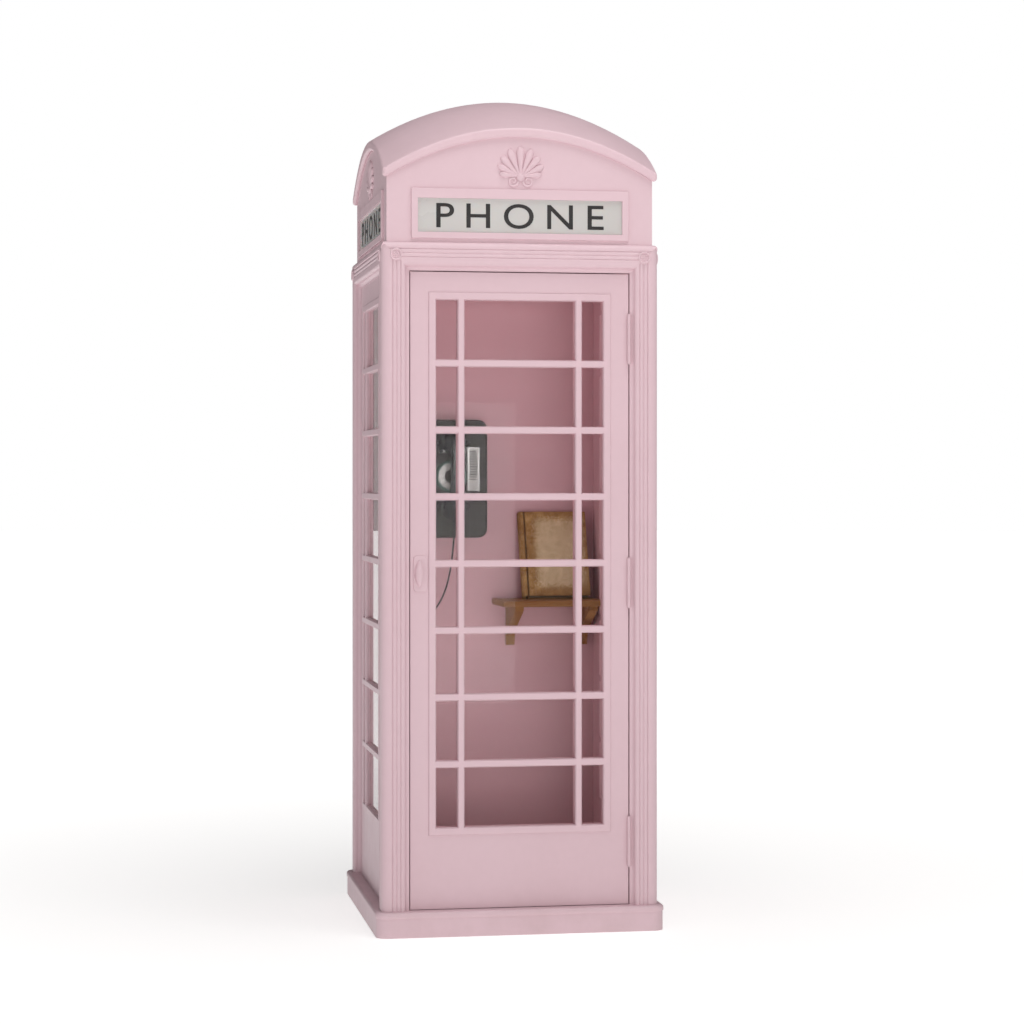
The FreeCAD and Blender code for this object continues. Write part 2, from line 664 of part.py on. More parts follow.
def make_hinges():
    """Three butt hinges: the frame has the odd knuckles and the door the even ones."""
    leaf_back = -DOOR_FACE + LEAF_DEPTH
    frame_side, door_side, pins = [], [], []
    lowest, highest = DOOR_BOTTOM + HINGE_LOW, DOOR_TOP - HINGE_HIGH
    for middle in (lowest, (lowest + highest) / 2 + HINGE_UP, highest):
        low = middle - S.hinge_height / 2
        pitch = S.hinge_height / KNUCKLES
        bore = rod(S.pin_radius + S.pin_play, S.hinge_height, PIN_X, PIN_Y, low)
        frame_leaf = [box(JAMB - S.leaf_thick, JAMB, PIN_Y, leaf_back, low, low + S.hinge_height)]
        door_leaf = [box(DOOR_HALF, DOOR_HALF + S.leaf_thick, PIN_Y, leaf_back, low,
                         low + S.hinge_height)]
        frame_knuckles, door_knuckles = [], []
        for i in range(KNUCKLES):
            foot = low + pitch * i + KNUCKLE_GAP / 2
            barrel = rod(S.knuckle_radius, pitch - KNUCKLE_GAP, PIN_X, PIN_Y, foot)
            (door_knuckles if i % 2 else frame_knuckles).append(barrel)
            room = rod(S.knuckle_radius + SNUG, pitch + KNUCKLE_GAP, PIN_X, PIN_Y, foot - KNUCKLE_GAP)
            (frame_leaf if i % 2 else door_leaf).append(room)
        frame_side.append(cut(fuse(cut(*frame_leaf), *frame_knuckles), bore))
        bore_again = rod(S.pin_radius + S.pin_play, S.hinge_height, PIN_X, PIN_Y, low)
        door_side.append(cut(fuse(cut(*door_leaf), *door_knuckles), bore_again))
        shank = rod(S.pin_radius, S.hinge_height + 2 * PIN_BEYOND, PIN_X, PIN_Y, low - PIN_BEYOND)
        caps = [rod(S.knuckle_radius - PIN_CAP_SMALLER, PIN_CAP, PIN_X, PIN_Y, z)
                for z in (low - PIN_CAP, low + S.hinge_height)]
        pins.append(fuse(shank, *caps))
    named(group(*frame_side), "hinge_frame_leaves")
    named(group(*door_side), "hinge_door_leaves")
    named(group(*pins), "hinge_pins")


def make_pull():
    """A plate with a half shell on it that fingers hook behind from the right."""
    body = new_body("pull_plate")
    sketch = round_rectangle(new_sketch(body, "XZ_Plane", DOOR_FACE), PULL_X - PULL_WIDTH / 2,
                             PULL_X + PULL_WIDTH / 2, PULL_Z - PULL_HEIGHT / 2,
                             PULL_Z + PULL_HEIGHT / 2, PULL_CORNER)
    pad(body, sketch, PULL_THICK)
    fillet(body, PULL_ROUND, lambda c, b: abs(c.y + float(DOOR_FACE) + PULL_THICK) < 0.01)
    shell = new_body("pull_cup")
    half, depth, wall = PULL_CUP_HALF, PULL_CUP_DEPTH, PULL_CUP_WALL
    lens = [(0, half, bulge(2 * half, depth)), (0, -half),
            (0, wall - half, -bulge(2 * (half - wall), depth - wall)), (0, half - wall)]
    revolve(shell, outline(new_sketch(shell, "XZ_Plane"), lens), "Z_Axis", PULL_CUP_SWEEP)
    place(shell, PULL_X - PULL_CUP_LEFT, -DOOR_FACE - PULL_THICK, PULL_Z)


def make_door_stops():
    """Rebate strips on the latch post and under the head that the closed door rests near."""
    behind = -DOOR_FACE + S.door_thick + STOP_GAP
    back = behind + STOP_THICK
    top = HEAD_BOTTOM
    inner, end = -JAMB + STOP_REACH, JAMB - STOP_SHORT
    latch = fuse(box(-JAMB - STOP_TAIL, -JAMB, -INSIDE, back, DOOR_BOTTOM, top),
                 box(-JAMB, inner, behind, back, DOOR_BOTTOM, top))
    above = fuse(box(inner, end, -INSIDE, back, top, top + STOP_TAIL),
                 box(inner, end, behind, back, top - STOP_REACH, top))
    named(group(latch, above), "door_stops")


# ---------------------------------------------------------------- roof

SIGN_REBATE = 6                          # fascia's opening beyond the sign glass that shows
SIGN_PANE_GAP, SIGN_PANE_THICK = 0.5, 5
SIGN_CORNER, SIGN_ROUND = 2, 1.6         # radii of a sign frame's corners and front edges
MITRE_BEYOND = 20                        # how far the wedges that mitre the fascias reach past them
ORNAMENT_RISE = 9                        # above the sign frame
ORNAMENT_HALF, ORNAMENT_HEIGHT, ORNAMENT_THICK = 67, 126, 9
ORNAMENT_WAIST, ORNAMENT_SHOULDER = 0.55, 0.42    # of its half width, and of its height
ORNAMENT_ARC, ORNAMENT_TAPER = 75, 12
CEILING_RISE, CEILING_THICK = 22, 8      # ceiling above the bottom of the head
WIRING_RADIUS = 8
LAMP_RADIUS, LAMP_THICK = 72, 14
LENS_RADIUS, LENS_SHOULDER, LENS_FLAT = 66, 62, 20
LENS_DROP, LENS_FLAT_DROP, LENS_RIM = 34, 32, 10
LENS_ARCS = (74, 20)


def roof_patch(half, level):
    """The roof's surface over a square: its top less a fall that grows with x squared plus y squared."""
    fall = float(S.roof_fall) / float(ROOF_HALF) ** 2
    ends, middle = -fall * half * half, fall * half * half
    lift = (ends, middle, ends)
    surface = Part.BezierSurface()
    surface.increase(2, 2)
    for i, x in enumerate((-half, 0, half)):
        for j, y in enumerate((-half, 0, half)):
            surface.setPole(i + 1, j + 1, Vector(x, y, level + lift[i] + lift[j]))
    return surface.toShape()


def make_roof():
    """The dome and the rolled rim that ends it on all four sides."""
    top, half, inner = float(ROOF_TOP), float(ROOF_HALF), float(FASCIA_BACK)
    block = roof_patch(half, top).extrude(Vector(0, 0, -float(S.rim_height)))
    block = block.makeFillet(float(S.rim_nose), block.Edges)
    hollow = Part.makeBox(2 * inner, 2 * inner, top, Vector(-inner, -inner, 0))
    rim = block.cut(hollow)
    named(shaped(rim), "roof_rim")
    dome = roof_patch(inner, top).extrude(Vector(0, 0, -float(S.roof_thick)))
    named(shaped(dome), "roof_dome")


def under_roof():
    """All the space below the roof's rim."""
    patch = roof_patch(float(ROOF_HALF), float(ROOF_TOP) - float(S.rim_height))
    return shaped(patch.extrude(Vector(0, 0, -float(ROOF_TOP))))


def make_fascia(side):
    """The wall above the head, arched under the roof, with its sign."""
    body = doc.addObject("PartDesign::Body", "fascia")
    floor = rectangle(new_sketch(body, "XZ_Plane", FASCIA_BACK), -FASCIA_FACE, FASCIA_FACE,
                      S.head_top, ROOF_TOP)
    pad(body, floor, S.fascia_thick)
    side_edge = SIGN_GLASS_HALF + SIGN_REBATE
    low = SIGN_GLASS_BOTTOM - SIGN_REBATE
    high = SIGN_GLASS_BOTTOM + S.sign_glass_height + SIGN_REBATE
    opening = rectangle(new_sketch(body, "XZ_Plane", FASCIA_FACE), -side_edge, side_edge, low, high)
    pocket(body, opening)
    reach, inner = FASCIA_FACE + MITRE_BEYOND, FASCIA_BACK - MITRE_BEYOND
    for hand in (-1, 1):
        wedge = [(hand * FASCIA_FACE, -FASCIA_FACE), (hand * reach, -FASCIA_FACE),
                 (hand * reach, -inner), (hand * inner, -inner)]
        pocket(body, outline(new_sketch(body, "XY_Plane"), wedge[::hand]), back=True)
    named(turned(common(body, under_roof()), side), f"fascia_{side}")


def make_sign_frames():
    """The four raised frames round the signs."""
    frames = []
    front = FASCIA_FACE + S.sign_proud
    top = SIGN_BOTTOM + S.sign_height
    for side in SIDES:
        frame = doc.addObject("PartDesign::Body", "sign_frame")
        edge = round_rectangle(new_sketch(frame, "XZ_Plane", FASCIA_FACE), -SIGN_HALF, SIGN_HALF,
                               SIGN_BOTTOM, top, SIGN_CORNER)
        pad(frame, edge, S.sign_proud)
        fillet(frame, SIGN_ROUND, lambda c, b: abs(c.y + float(front)) < 0.01)
        shown = rectangle(new_sketch(frame, "XZ_Plane", front), -SIGN_GLASS_HALF, SIGN_GLASS_HALF,
                          SIGN_GLASS_BOTTOM, SIGN_GLASS_BOTTOM + S.sign_glass_height)
        pocket(frame, shown)
        frames.append(turned(frame, side))
    named(group(*frames), "sign_frames")


def make_sign_glasses():
    """The four opal panes, held in the fascias behind the sign frames."""
    grip = SIGN_REBATE - SIGN_PANE_GAP
    half = SIGN_GLASS_HALF + grip
    low, high = SIGN_GLASS_BOTTOM - grip, SIGN_GLASS_BOTTOM + S.sign_glass_height + grip
    panes = []
    for side in SIDES:
        pane = box(-half, half, -FASCIA_FACE, -FASCIA_FACE + SIGN_PANE_THICK, low, high)
        panes.append(turned(group(pane), side))
    named(group(*panes), "sign_glasses")


def make_ornaments():
    """A fan-shaped leaf ornament over each sign."""
    fans = []
    for side in SIDES:
        body = doc.addObject("PartDesign::Body", "fan")
        waist, shoulder = ORNAMENT_HALF * ORNAMENT_WAIST, ORNAMENT_HEIGHT * ORNAMENT_SHOULDER
        low = SIGN_BOTTOM + S.sign_height + ORNAMENT_RISE
        high = low + ORNAMENT_HEIGHT
        points = [(-waist, low), (waist, low), (ORNAMENT_HALF, low + shoulder, ORNAMENT_ARC),
                  (0, high, ORNAMENT_ARC), (-ORNAMENT_HALF, low + shoulder)]
        fan = outline(new_sketch(body, "XZ_Plane", FASCIA_FACE), points)
        pad(body, fan, ORNAMENT_THICK, taper=-ORNAMENT_TAPER)
        fans.append(turned(body, side))
    named(group(*fans), "roof_ornaments")


def make_ceiling():
    """The ceiling panel with its wiring hole, and the lamp under it."""
    half = INSIDE
    base = HEAD_BOTTOM + CEILING_RISE
    lid = box(-half, half, -half, half, base, base + CEILING_THICK)
    wiring = rod(WIRING_RADIUS, CEILING_THICK, 0, 0, base)
    named(cut(lid, wiring), "ceiling_panel")
    top = base - LAMP_THICK
    named(rod(LAMP_RADIUS, LAMP_THICK, 0, 0, top), "lamp_base")
    body = new_body("lamp_lens")
    profile = [(0, top - LENS_DROP), (LENS_FLAT, top - LENS_FLAT_DROP, LENS_ARCS[0]),
               (LENS_SHOULDER, top - LENS_RIM, LENS_ARCS[1]), (LENS_RADIUS, top), (0, top)]
    revolve(body, outline(new_sketch(body, "XZ_Plane"), profile), "Z_Axis")


# ---------------------------------------------------------------- telephone

GLAND_X, GLAND_Y, GLAND_BOTTOM = S.case_left + 21, CASE_FRONT + 24, S.case_bottom - 13
GLAND_WALLS = (1.2, 2.4)                 # at its bottom and at the case
GLAND_INTO_CASE = 4
CORD_END_GAP = 0.6
# The cord as it hangs, from the mouth cup down and round to the gland under the case: points measured
# across from the handset, along from the front of the case, and up from the mouth cup.
CORD = [(0, -54, -46), (-2, -54, -94), (-6, -53, -144), (-12, -51, -194), (-22, -47, -244), (-38, -41, -290),
        (-62, -32, -329), (-92, -21, -349), (-119, -9, -333), (-132, 1, -290), (-133, 9, -242),
        (-128, 16, -196), (-121, 21, -152)]
CORD_BEND = 0.45                         # of the shorter run beside a bend, taken up by its arc

CASE_ROUND = 7                           # radius of the case's front edges
SLOT_HALF_WIDTH, SLOT_HALF_HEIGHT, SLOT_DEPTH = 5, 14, 12
GLAND_HOLE_RADIUS = 5
LUG_PLACES, LUG_THICK, LUG_DEPTH = (-56, 51), 5, 32
LUG_ABOVE, LUG_BELOW = 6, 12             # ends of the lugs above and below the tops of the prongs
PLATE_INSET = 1                          # back plate inside the case's outline

HOOK_X, HOOK_WIDTH, HOOK_THICK = 34, 6, 6
HOOK_INNER = HOOK_X - HOOK_WIDTH / 2
HOOK_TOP = S.ear_z - root(S.cup_radius * S.cup_radius - HOOK_INNER * HOOK_INNER) - SNUG
HOOK_REACH = 56                          # prongs in front of the case
HOOK_PIN_DEPTH, HOOK_PIN_DROP = 24, 3    # pin behind the case's front, and below the prongs' tops
HOOK_PIN_RADIUS, HOOK_PIN_HALF = 3, 56
HOOK_BAR_RADIUS, HOOK_BAR_HALF = 6, 50

HANDSET_BACK = 22                        # handset's caps in front of the case
CAP_THICK, CUP_DEPTH, CUP_SMALLER = 12, 26, 2
GRIP_WIDTH, GRIP_BACK, GRIP_FRONT = 38, 34, 62    # back and front measured from the caps' backs
GRIP_BEYOND = 20                         # grip past the middles of the cups
GRIP_END, GRIP_HOLLOW = 42, 260          # straight ends of the grip's back, radius between them
GRIP_CORNER_IN, GRIP_CORNER_DOWN, GRIP_CORNER_ARC = 22, 24, 40
COLLAR_RADIUS, COLLAR_HEIGHT, COLLAR_LIFT = 5, 12, 0.4

WELL_DEPTH, DIAL_HEIGHT, WHEEL_THICK = 8, 14, 3
WELL_GAP, WHEEL_LIFT = 1, 1.2            # round the finger wheel, and behind it
RING_FLAT, RING_ARC, RING_FOOT = 2.5, 14, 4
FINGER_HOLES, FINGER_HOLE_RADIUS, FINGER_HOLE_INSET = 10, 6.2, 8.6
FINGER_HOLE_SWEEP = 270                  # degrees, from the first hole to the last
HUB_RADIUS, HUB_THICK = 24, 1.6
STOP_TURN, STOP_OVER_RING = 62, 2        # finger stop: degrees, and how far it goes over the ring
STOP_ARM_THICK, STOP_TIP_HALF, STOP_ROOT_HALF, STOP_TIP_ARC = 2.4, 3, 4, 3.2

CARD_LEFT, CARD_WIDTH, CARD_BOTTOM, CARD_HEIGHT = -53, 39, 1298, 140
CARD_FRAME, CARD_FRAME_CORNER, CARD_GAP, CARD_THICK = 4, 5, 0.2, 1.5


def make_phone_case():
    """A moulded shell on a back plate, with slots for the cradle's prongs."""
    body = doc.addObject("PartDesign::Body", "case")
    low, high = S.case_bottom, S.case_bottom + S.case_height
    skin = round_rectangle(new_sketch(body, "XZ_Plane", -CASE_FRONT), S.case_left, CASE_RIGHT, low,
                           high, S.case_corner)
    pad(body, skin, S.case_depth, back=True)
    fillet(body, CASE_ROUND, lambda c, b: abs(c.y - float(CASE_FRONT)) < 0.01)
    wall = S.case_wall
    room = round_rectangle(new_sketch(body, "XZ_Plane", -(CASE_FRONT + S.case_depth)),
                           S.case_left + wall, CASE_RIGHT - wall, low + wall, high - wall,
                           S.case_corner - wall)
    pocket(body, room, S.case_depth - wall * 2, back=True)
    slots = []
    for hand in (-1, 1):
        x = S.handset_x + hand * HOOK_X
        slots.append(box(x - SLOT_HALF_WIDTH, x + SLOT_HALF_WIDTH, CASE_FRONT - 1, CASE_FRONT + SLOT_DEPTH,
                         HOOK_TOP - SLOT_HALF_HEIGHT, HOOK_TOP + SLOT_HALF_HEIGHT))
    hole = rod(GLAND_HOLE_RADIUS, 4 * wall, GLAND_X, GLAND_Y, low - wall)
    lugs = [box(S.handset_x + x, S.handset_x + x + LUG_THICK, CASE_FRONT + wall, CASE_FRONT + LUG_DEPTH,
                HOOK_TOP - LUG_BELOW, HOOK_TOP + LUG_ABOVE) for x in LUG_PLACES]
    pin_hole = rod(HOOK_PIN_RADIUS, 4 * HOOK_PIN_HALF, S.handset_x - 2 * HOOK_PIN_HALF,
                   CASE_FRONT + HOOK_PIN_DEPTH, HOOK_TOP - HOOK_PIN_DROP, "x")
    named(cut(fuse(cut(body, *slots, hole), *lugs), pin_hole), "phone_case")
    plate = new_body("phone_back_plate")
    inset = PLATE_INSET
    sketch = round_rectangle(new_sketch(plate, "XZ_Plane", -(INSIDE - wall)), S.case_left + inset,
                             CASE_RIGHT - inset, low + inset, high - inset, S.case_corner - inset)
    pad(plate, sketch, wall, back=True)


def make_dial():
    """The dial's ring and number plate, its finger wheel and its finger stop."""
    body = new_body("dial_body")
    outer, well = S.bezel_radius, S.wheel_radius + WELL_GAP
    base = DIAL_HEIGHT - WELL_DEPTH
    profile = [(0, 0), (0, outer), (-RING_FOOT, outer, RING_ARC), (-DIAL_HEIGHT, well + RING_FLAT),
               (-DIAL_HEIGHT, well), (-base, well), (-base, 0)]
    revolve(body, outline(new_sketch(body, "YZ_Plane"), profile), "Y_Axis")
    place(body, S.dial_x, CASE_FRONT, S.dial_z)
    wheel = new_body("finger_wheel")
    pad(wheel, circle(new_sketch(wheel, "XZ_Plane"), 0, 0, S.wheel_radius), WHEEL_THICK)
    middle = S.wheel_radius - FINGER_HOLE_INSET
    hole = circle(new_sketch(wheel, "XZ_Plane"), 0, middle, FINGER_HOLE_RADIUS)
    first = pocket(wheel, hole, back=True)
    ring = wheel.newObject("PartDesign::PolarPattern", "ring")
    ring.Originals = [first]
    ring.Axis = (next(f for f in wheel.Origin.OriginFeatures if f.Role == "Y_Axis"), [""])
    ring.Angle = FINGER_HOLE_SWEEP
    ring.Occurrences = FINGER_HOLES
    wheel.Tip = ring
    pad(wheel, circle(new_sketch(wheel, "XZ_Plane", WHEEL_THICK), 0, 0, HUB_RADIUS), HUB_THICK)
    place(wheel, S.dial_x, CASE_FRONT - base - WHEEL_LIFT, S.dial_z)
    stop = new_body("finger_stop")
    end = well + STOP_OVER_RING
    arm = [(middle, -STOP_TIP_HALF), (end, -STOP_ROOT_HALF), (end, STOP_ROOT_HALF),
           (middle, STOP_TIP_HALF, STOP_TIP_ARC)]
    pad(stop, outline(new_sketch(stop, "XZ_Plane"), arm), STOP_ARM_THICK)
    stop.Placement = Placement(Vector(), Rotation(Vector(0, 1, 0), STOP_TURN))
    place(stop, S.dial_x, CASE_FRONT - DIAL_HEIGHT, S.dial_z)


def make_cradle():
    """Two prongs on a cross bar that turns on a pin inside the case."""
    pin_y, pin_z = CASE_FRONT + HOOK_PIN_DEPTH, HOOK_TOP - HOOK_PIN_DROP
    tip = CASE_FRONT - HOOK_REACH
    middle, play = S.handset_x, S.pin_play
    prongs = []
    for hand in (-1, 1):
        x = middle + hand * HOOK_X
        prongs.append(box(x - HOOK_WIDTH / 2, x + HOOK_WIDTH / 2, tip, pin_y, HOOK_TOP - HOOK_THICK,
                          HOOK_TOP))
    bar = rod(HOOK_BAR_RADIUS, 2 * HOOK_BAR_HALF, middle - HOOK_BAR_HALF, pin_y, pin_z, "x")
    bore = rod(HOOK_PIN_RADIUS + play, 2 * HOOK_PIN_HALF, middle - HOOK_PIN_HALF, pin_y, pin_z, "x")
    named(cut(fuse(bar, *prongs), bore), "cradle")
    pin = rod(HOOK_PIN_RADIUS, 2 * HOOK_PIN_HALF, middle - HOOK_PIN_HALF, pin_y, pin_z, "x")
    named(pin, "cradle_pin")


def make_handset():
    """A curved grip between two round cups, each closed by a screwed cap."""
    back = CASE_FRONT - HANDSET_BACK
    behind, front = back - GRIP_BACK, back - GRIP_FRONT
    low, high = S.mouth_z - GRIP_BEYOND, S.ear_z + GRIP_BEYOND
    edge, down = front + GRIP_CORNER_IN, GRIP_CORNER_DOWN
    body = doc.addObject("PartDesign::Body", "grip")
    points = [(behind, low), (behind, low + GRIP_END, -GRIP_HOLLOW), (behind, high - GRIP_END),
              (behind, high), (edge, high, GRIP_CORNER_ARC), (front, high - down),
              (front, low + down, GRIP_CORNER_ARC), (edge, low)]
    pad(body, outline(new_sketch(body, "YZ_Plane", S.handset_x), points), GRIP_WIDTH, both=True)
    cups, caps = [], []
    for z in (S.ear_z, S.mouth_z):
        seam = back - CAP_THICK
        cups.append(rod(S.cup_radius - CUP_SMALLER, CUP_DEPTH, S.handset_x, seam - CUP_DEPTH, z, "y"))
        caps.append(rod(S.cup_radius, CAP_THICK, S.handset_x, seam, z, "y"))
    across, along, up = CORD[0]
    collar = rod(COLLAR_RADIUS, COLLAR_HEIGHT, S.handset_x + across, CASE_FRONT + along,
                 S.mouth_z + up + COLLAR_LIFT)
    named(fuse(body, *cups, collar), "handset")
    named(group(*caps), "handset_caps")


def make_cord():
    """A tube of straight runs joined by arcs as large as the runs allow."""
    start = Vector(float(S.handset_x), float(CASE_FRONT), float(S.mouth_z))
    gland = Vector(float(GLAND_X), float(GLAND_Y), float(GLAND_BOTTOM) - CORD_END_GAP)
    route = [start + Vector(*point) for point in CORD] + [gland]
    radius = float(S.cord_radius)
    edges, here, radii = [], route[0], []
    for before, corner, after in zip(route, route[1:], route[2:]):
        to, away = before - corner, after - corner
        turn = math.pi - to.getAngle(away)
        reach = CORD_BEND * min(to.Length, away.Length)
        radii.append(reach / math.tan(turn / 2))
        first = corner + Vector(to).normalize() * reach
        last = corner + Vector(away).normalize() * reach
        inward = (Vector(to).normalize() + Vector(away).normalize()).normalize()
        centre_gap = radii[-1] / math.cos(turn / 2)
        middle = corner + inward * (centre_gap - radii[-1])
        edges.append(Part.LineSegment(here, first).toShape())
        edges.append(Part.Arc(first, middle, last).toShape())
        here = last
    edges.append(Part.LineSegment(here, route[-1]).toShape())
    path = Part.Wire(edges)
    section = Part.Wire(Part.Circle(route[0], route[1] - route[0], radius).toShape())
    tube = path.makePipeShell([section], True, False, 1)
    expected = math.pi * radius ** 2 * path.Length
    print(f"cord: {path.Length:.0f} mm long, bend radii from {min(radii):.0f} mm, volume "
          f"{tube.Volume / expected:.3f} of section times length")
    named(shaped(tube), "handset_cord")
    body = new_body("cord_gland")
    low, high = GLAND_BOTTOM, S.case_bottom
    narrow, wide = S.cord_radius + GLAND_WALLS[0], S.cord_radius + GLAND_WALLS[1]
    profile = [(0, low), (narrow, low), (wide, high), (wide, high + GLAND_INTO_CASE),
               (0, high + GLAND_INTO_CASE)]
    revolve(body, outline(new_sketch(body, "XZ_Plane"), profile), "Z_Axis")
    place(body, GLAND_X, GLAND_Y, 0)


def make_card():
    """The instruction card in its chromed frame, on the front of the case."""
    frame = new_body("card_frame")
    right, top = CARD_LEFT + CARD_WIDTH, CARD_BOTTOM + CARD_HEIGHT
    sketch = round_rectangle(new_sketch(frame, "XZ_Plane", -CASE_FRONT), CARD_LEFT, right, CARD_BOTTOM,
                             top, CARD_FRAME_CORNER)
    pad(frame, sketch, CARD_FRAME)
    hole = rectangle(new_sketch(frame, "XZ_Plane", -CASE_FRONT + CARD_FRAME), CARD_LEFT + CARD_FRAME,
                     right - CARD_FRAME, CARD_BOTTOM + CARD_FRAME, top - CARD_FRAME)
    pocket(frame, hole)
    inset = CARD_FRAME + CARD_GAP
    named(box(CARD_LEFT + inset, right - inset, CASE_FRONT - CARD_THICK, CASE_FRONT,
              CARD_BOTTOM + inset, top - inset), "card")


# ---------------------------------------------------------------- shelf and book

SHELF_ROUND = 3                          # radius of the shelf's front edges
BRACKET_IN, BRACKET_WIDTH = (44, 46.5), 28    # brackets from the shelf's left and right ends
BRACKET_TIP, BRACKET_TIP_DROP = 40, 14   # behind the shelf's front, and below the shelf
BRACKET_KNEE, BRACKET_KNEE_DROP = 60, 70
BRACKET_FOOT, BRACKET_DROP = 14, 133
BRACKET_HOLLOW = 90
BOOK_RIGHT = 30.5                        # book from the shelf's right end
BOOK_CLEAR = 0.4                         # between the book and the shelf, and the wall
COVER_THICK = 3
PAGES_INSET = 4                          # pages behind the cover's edges


def make_shelf():
    """A board on two brackets against the back wall, up to the side wall."""
    right = DOOR_FACE - S.panel_thick
    low = S.shelf_top - S.shelf_thick
    front = INSIDE - S.shelf_depth
    body = new_body("shelf_board")
    sketch = rectangle(new_sketch(body, "XY_Plane", low), S.shelf_left, right, front, INSIDE)
    pad(body, sketch, S.shelf_thick)
    fillet(body, SHELF_ROUND, lambda c, b: abs(c.y - float(front)) < 0.01)
    tip = front + BRACKET_TIP
    profile = [(tip, low - BRACKET_TIP_DROP),
               (INSIDE - BRACKET_KNEE, low - BRACKET_KNEE_DROP, -BRACKET_HOLLOW),
               (INSIDE - BRACKET_FOOT, low - BRACKET_DROP), (INSIDE, low - BRACKET_DROP),
               (INSIDE, low), (tip, low)]
    brackets = []
    for left in (S.shelf_left + BRACKET_IN[0], right - BRACKET_IN[1]):
        bracket = doc.addObject("PartDesign::Body", "bracket")
        sketch = new_sketch(bracket, "YZ_Plane", left + BRACKET_WIDTH / 2)
        pad(bracket, outline(sketch, profile), BRACKET_WIDTH, both=True)
        brackets.append(bracket)
    named(group(*brackets), "shelf_brackets")


def make_book():
    """A closed hardback leaning on the back wall: its cover and its block of pages."""
    wide, tall, thick = S.book_width, S.book_height, S.book_thick
    cover = new_body("book_cover")
    outer = rectangle(new_sketch(cover, "XY_Plane"), 0, wide, 0, thick)
    pad(cover, outer, tall)
    inner = rectangle(new_sketch(cover, "XY_Plane"), COVER_THICK, wide + 1, COVER_THICK,
                      thick - COVER_THICK)
    pocket(cover, inner, back=True)
    pages = new_body("book_pages")
    block = rectangle(new_sketch(pages, "XY_Plane", PAGES_INSET), COVER_THICK, wide - PAGES_INSET,
                      COVER_THICK, thick - COVER_THICK)
    pad(pages, block, tall - 2 * PAGES_INSET)
    lean = math.radians(float(S.book_lean))
    drop = float(thick) * math.sin(lean)
    reach = float(thick) * math.cos(lean) + float(tall) * math.sin(lean)
    turn = Rotation(Vector(1, 0, 0), -float(S.book_lean))
    left = float(DOOR_FACE - S.panel_thick - wide) - BOOK_RIGHT
    base = Vector(left, float(INSIDE) - BOOK_CLEAR - reach, float(S.shelf_top) + BOOK_CLEAR + drop)
    for piece in (cover, pages):
        piece.Placement = Placement(base, turn)


make_plinth()
make_floor()
for side in SIDES:
    make_post(side)
    make_head(side)
    make_fascia(side)
make_rosettes()
for side in ("left", "right"):
    make_side_wall(side)
make_back_panel()
make_door()
make_hinges()
make_pull()
make_door_stops()
make_roof()
make_sign_frames()
make_sign_glasses()
make_ornaments()
make_ceiling()
make_phone_case()
make_dial()
make_cradle()
make_handset()
make_cord()
make_card()
make_shelf()
make_book()
doc.recompute()

faults = [o.Label for o in doc.Objects if {"Invalid", "Error"} & set(o.State)]
for node, piece in made.items():
    if piece.Shape.isNull() or not piece.Shape.isValid() or not piece.Shape.Solids:
        faults.append(node)
if faults:
    raise ValueError(f"failed: {faults}")
for node, piece in made.items():
    piece.Shape.exportStep(f"parts/{node}.step")
print(f"{len(made)} sub-parts")
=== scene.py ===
import json
import math
import bmesh
import bpy
import numpy as np
from mathutils import Matrix, Vector


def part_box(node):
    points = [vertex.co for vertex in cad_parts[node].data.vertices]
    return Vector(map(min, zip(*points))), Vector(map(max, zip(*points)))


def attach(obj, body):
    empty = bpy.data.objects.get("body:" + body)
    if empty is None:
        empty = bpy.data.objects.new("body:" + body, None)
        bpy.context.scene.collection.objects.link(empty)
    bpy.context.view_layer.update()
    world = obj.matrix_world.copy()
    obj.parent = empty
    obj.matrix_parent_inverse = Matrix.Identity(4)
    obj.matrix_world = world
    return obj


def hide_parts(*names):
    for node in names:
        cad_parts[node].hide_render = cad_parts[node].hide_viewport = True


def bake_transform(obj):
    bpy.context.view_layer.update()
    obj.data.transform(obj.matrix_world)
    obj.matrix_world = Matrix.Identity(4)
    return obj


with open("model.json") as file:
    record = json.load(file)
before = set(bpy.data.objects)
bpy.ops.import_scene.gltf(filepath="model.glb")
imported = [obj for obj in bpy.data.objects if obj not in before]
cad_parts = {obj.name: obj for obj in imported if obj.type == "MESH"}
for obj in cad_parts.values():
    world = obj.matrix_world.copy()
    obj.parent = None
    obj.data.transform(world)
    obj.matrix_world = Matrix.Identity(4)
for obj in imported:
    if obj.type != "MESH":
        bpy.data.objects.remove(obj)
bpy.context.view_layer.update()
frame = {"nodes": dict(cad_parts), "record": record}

scene = bpy.context.scene
mm = 0.001
print("frame loaded:", len(frame["nodes"]), "nodes")


view = dict(place=(-1.277, -7.735, 1.330), turn=-9.68, lens=89, sensor=36, shiftY=-0.0303)


# a level camera, turned about the vertical axis
def makeCamera():
    lens = bpy.data.cameras.new("camera")
    lens.lens = view["lens"]
    lens.sensor_width = view["sensor"]
    lens.shift_y = view["shiftY"]
    camera = bpy.data.objects.new("camera", lens)
    camera.location = view["place"]
    camera.rotation_euler = (math.radians(90), 0, math.radians(view["turn"]))
    scene.collection.objects.link(camera)
    scene.camera = camera


makeCamera()


# a grid of points (rows, columns, 3) as vertices and faces, its last column joined to its first
def gridSurface(points):
    rows, columns = points.shape[:2]
    index = np.arange(rows * columns).reshape(rows, columns)
    index = np.hstack([index, index[:, :1]])
    quads = np.stack([index[:-1, :-1], index[:-1, 1:], index[1:, 1:], index[1:, :-1]], axis=-1)
    return points.reshape(-1, 3), quads.reshape(-1, 4).tolist()


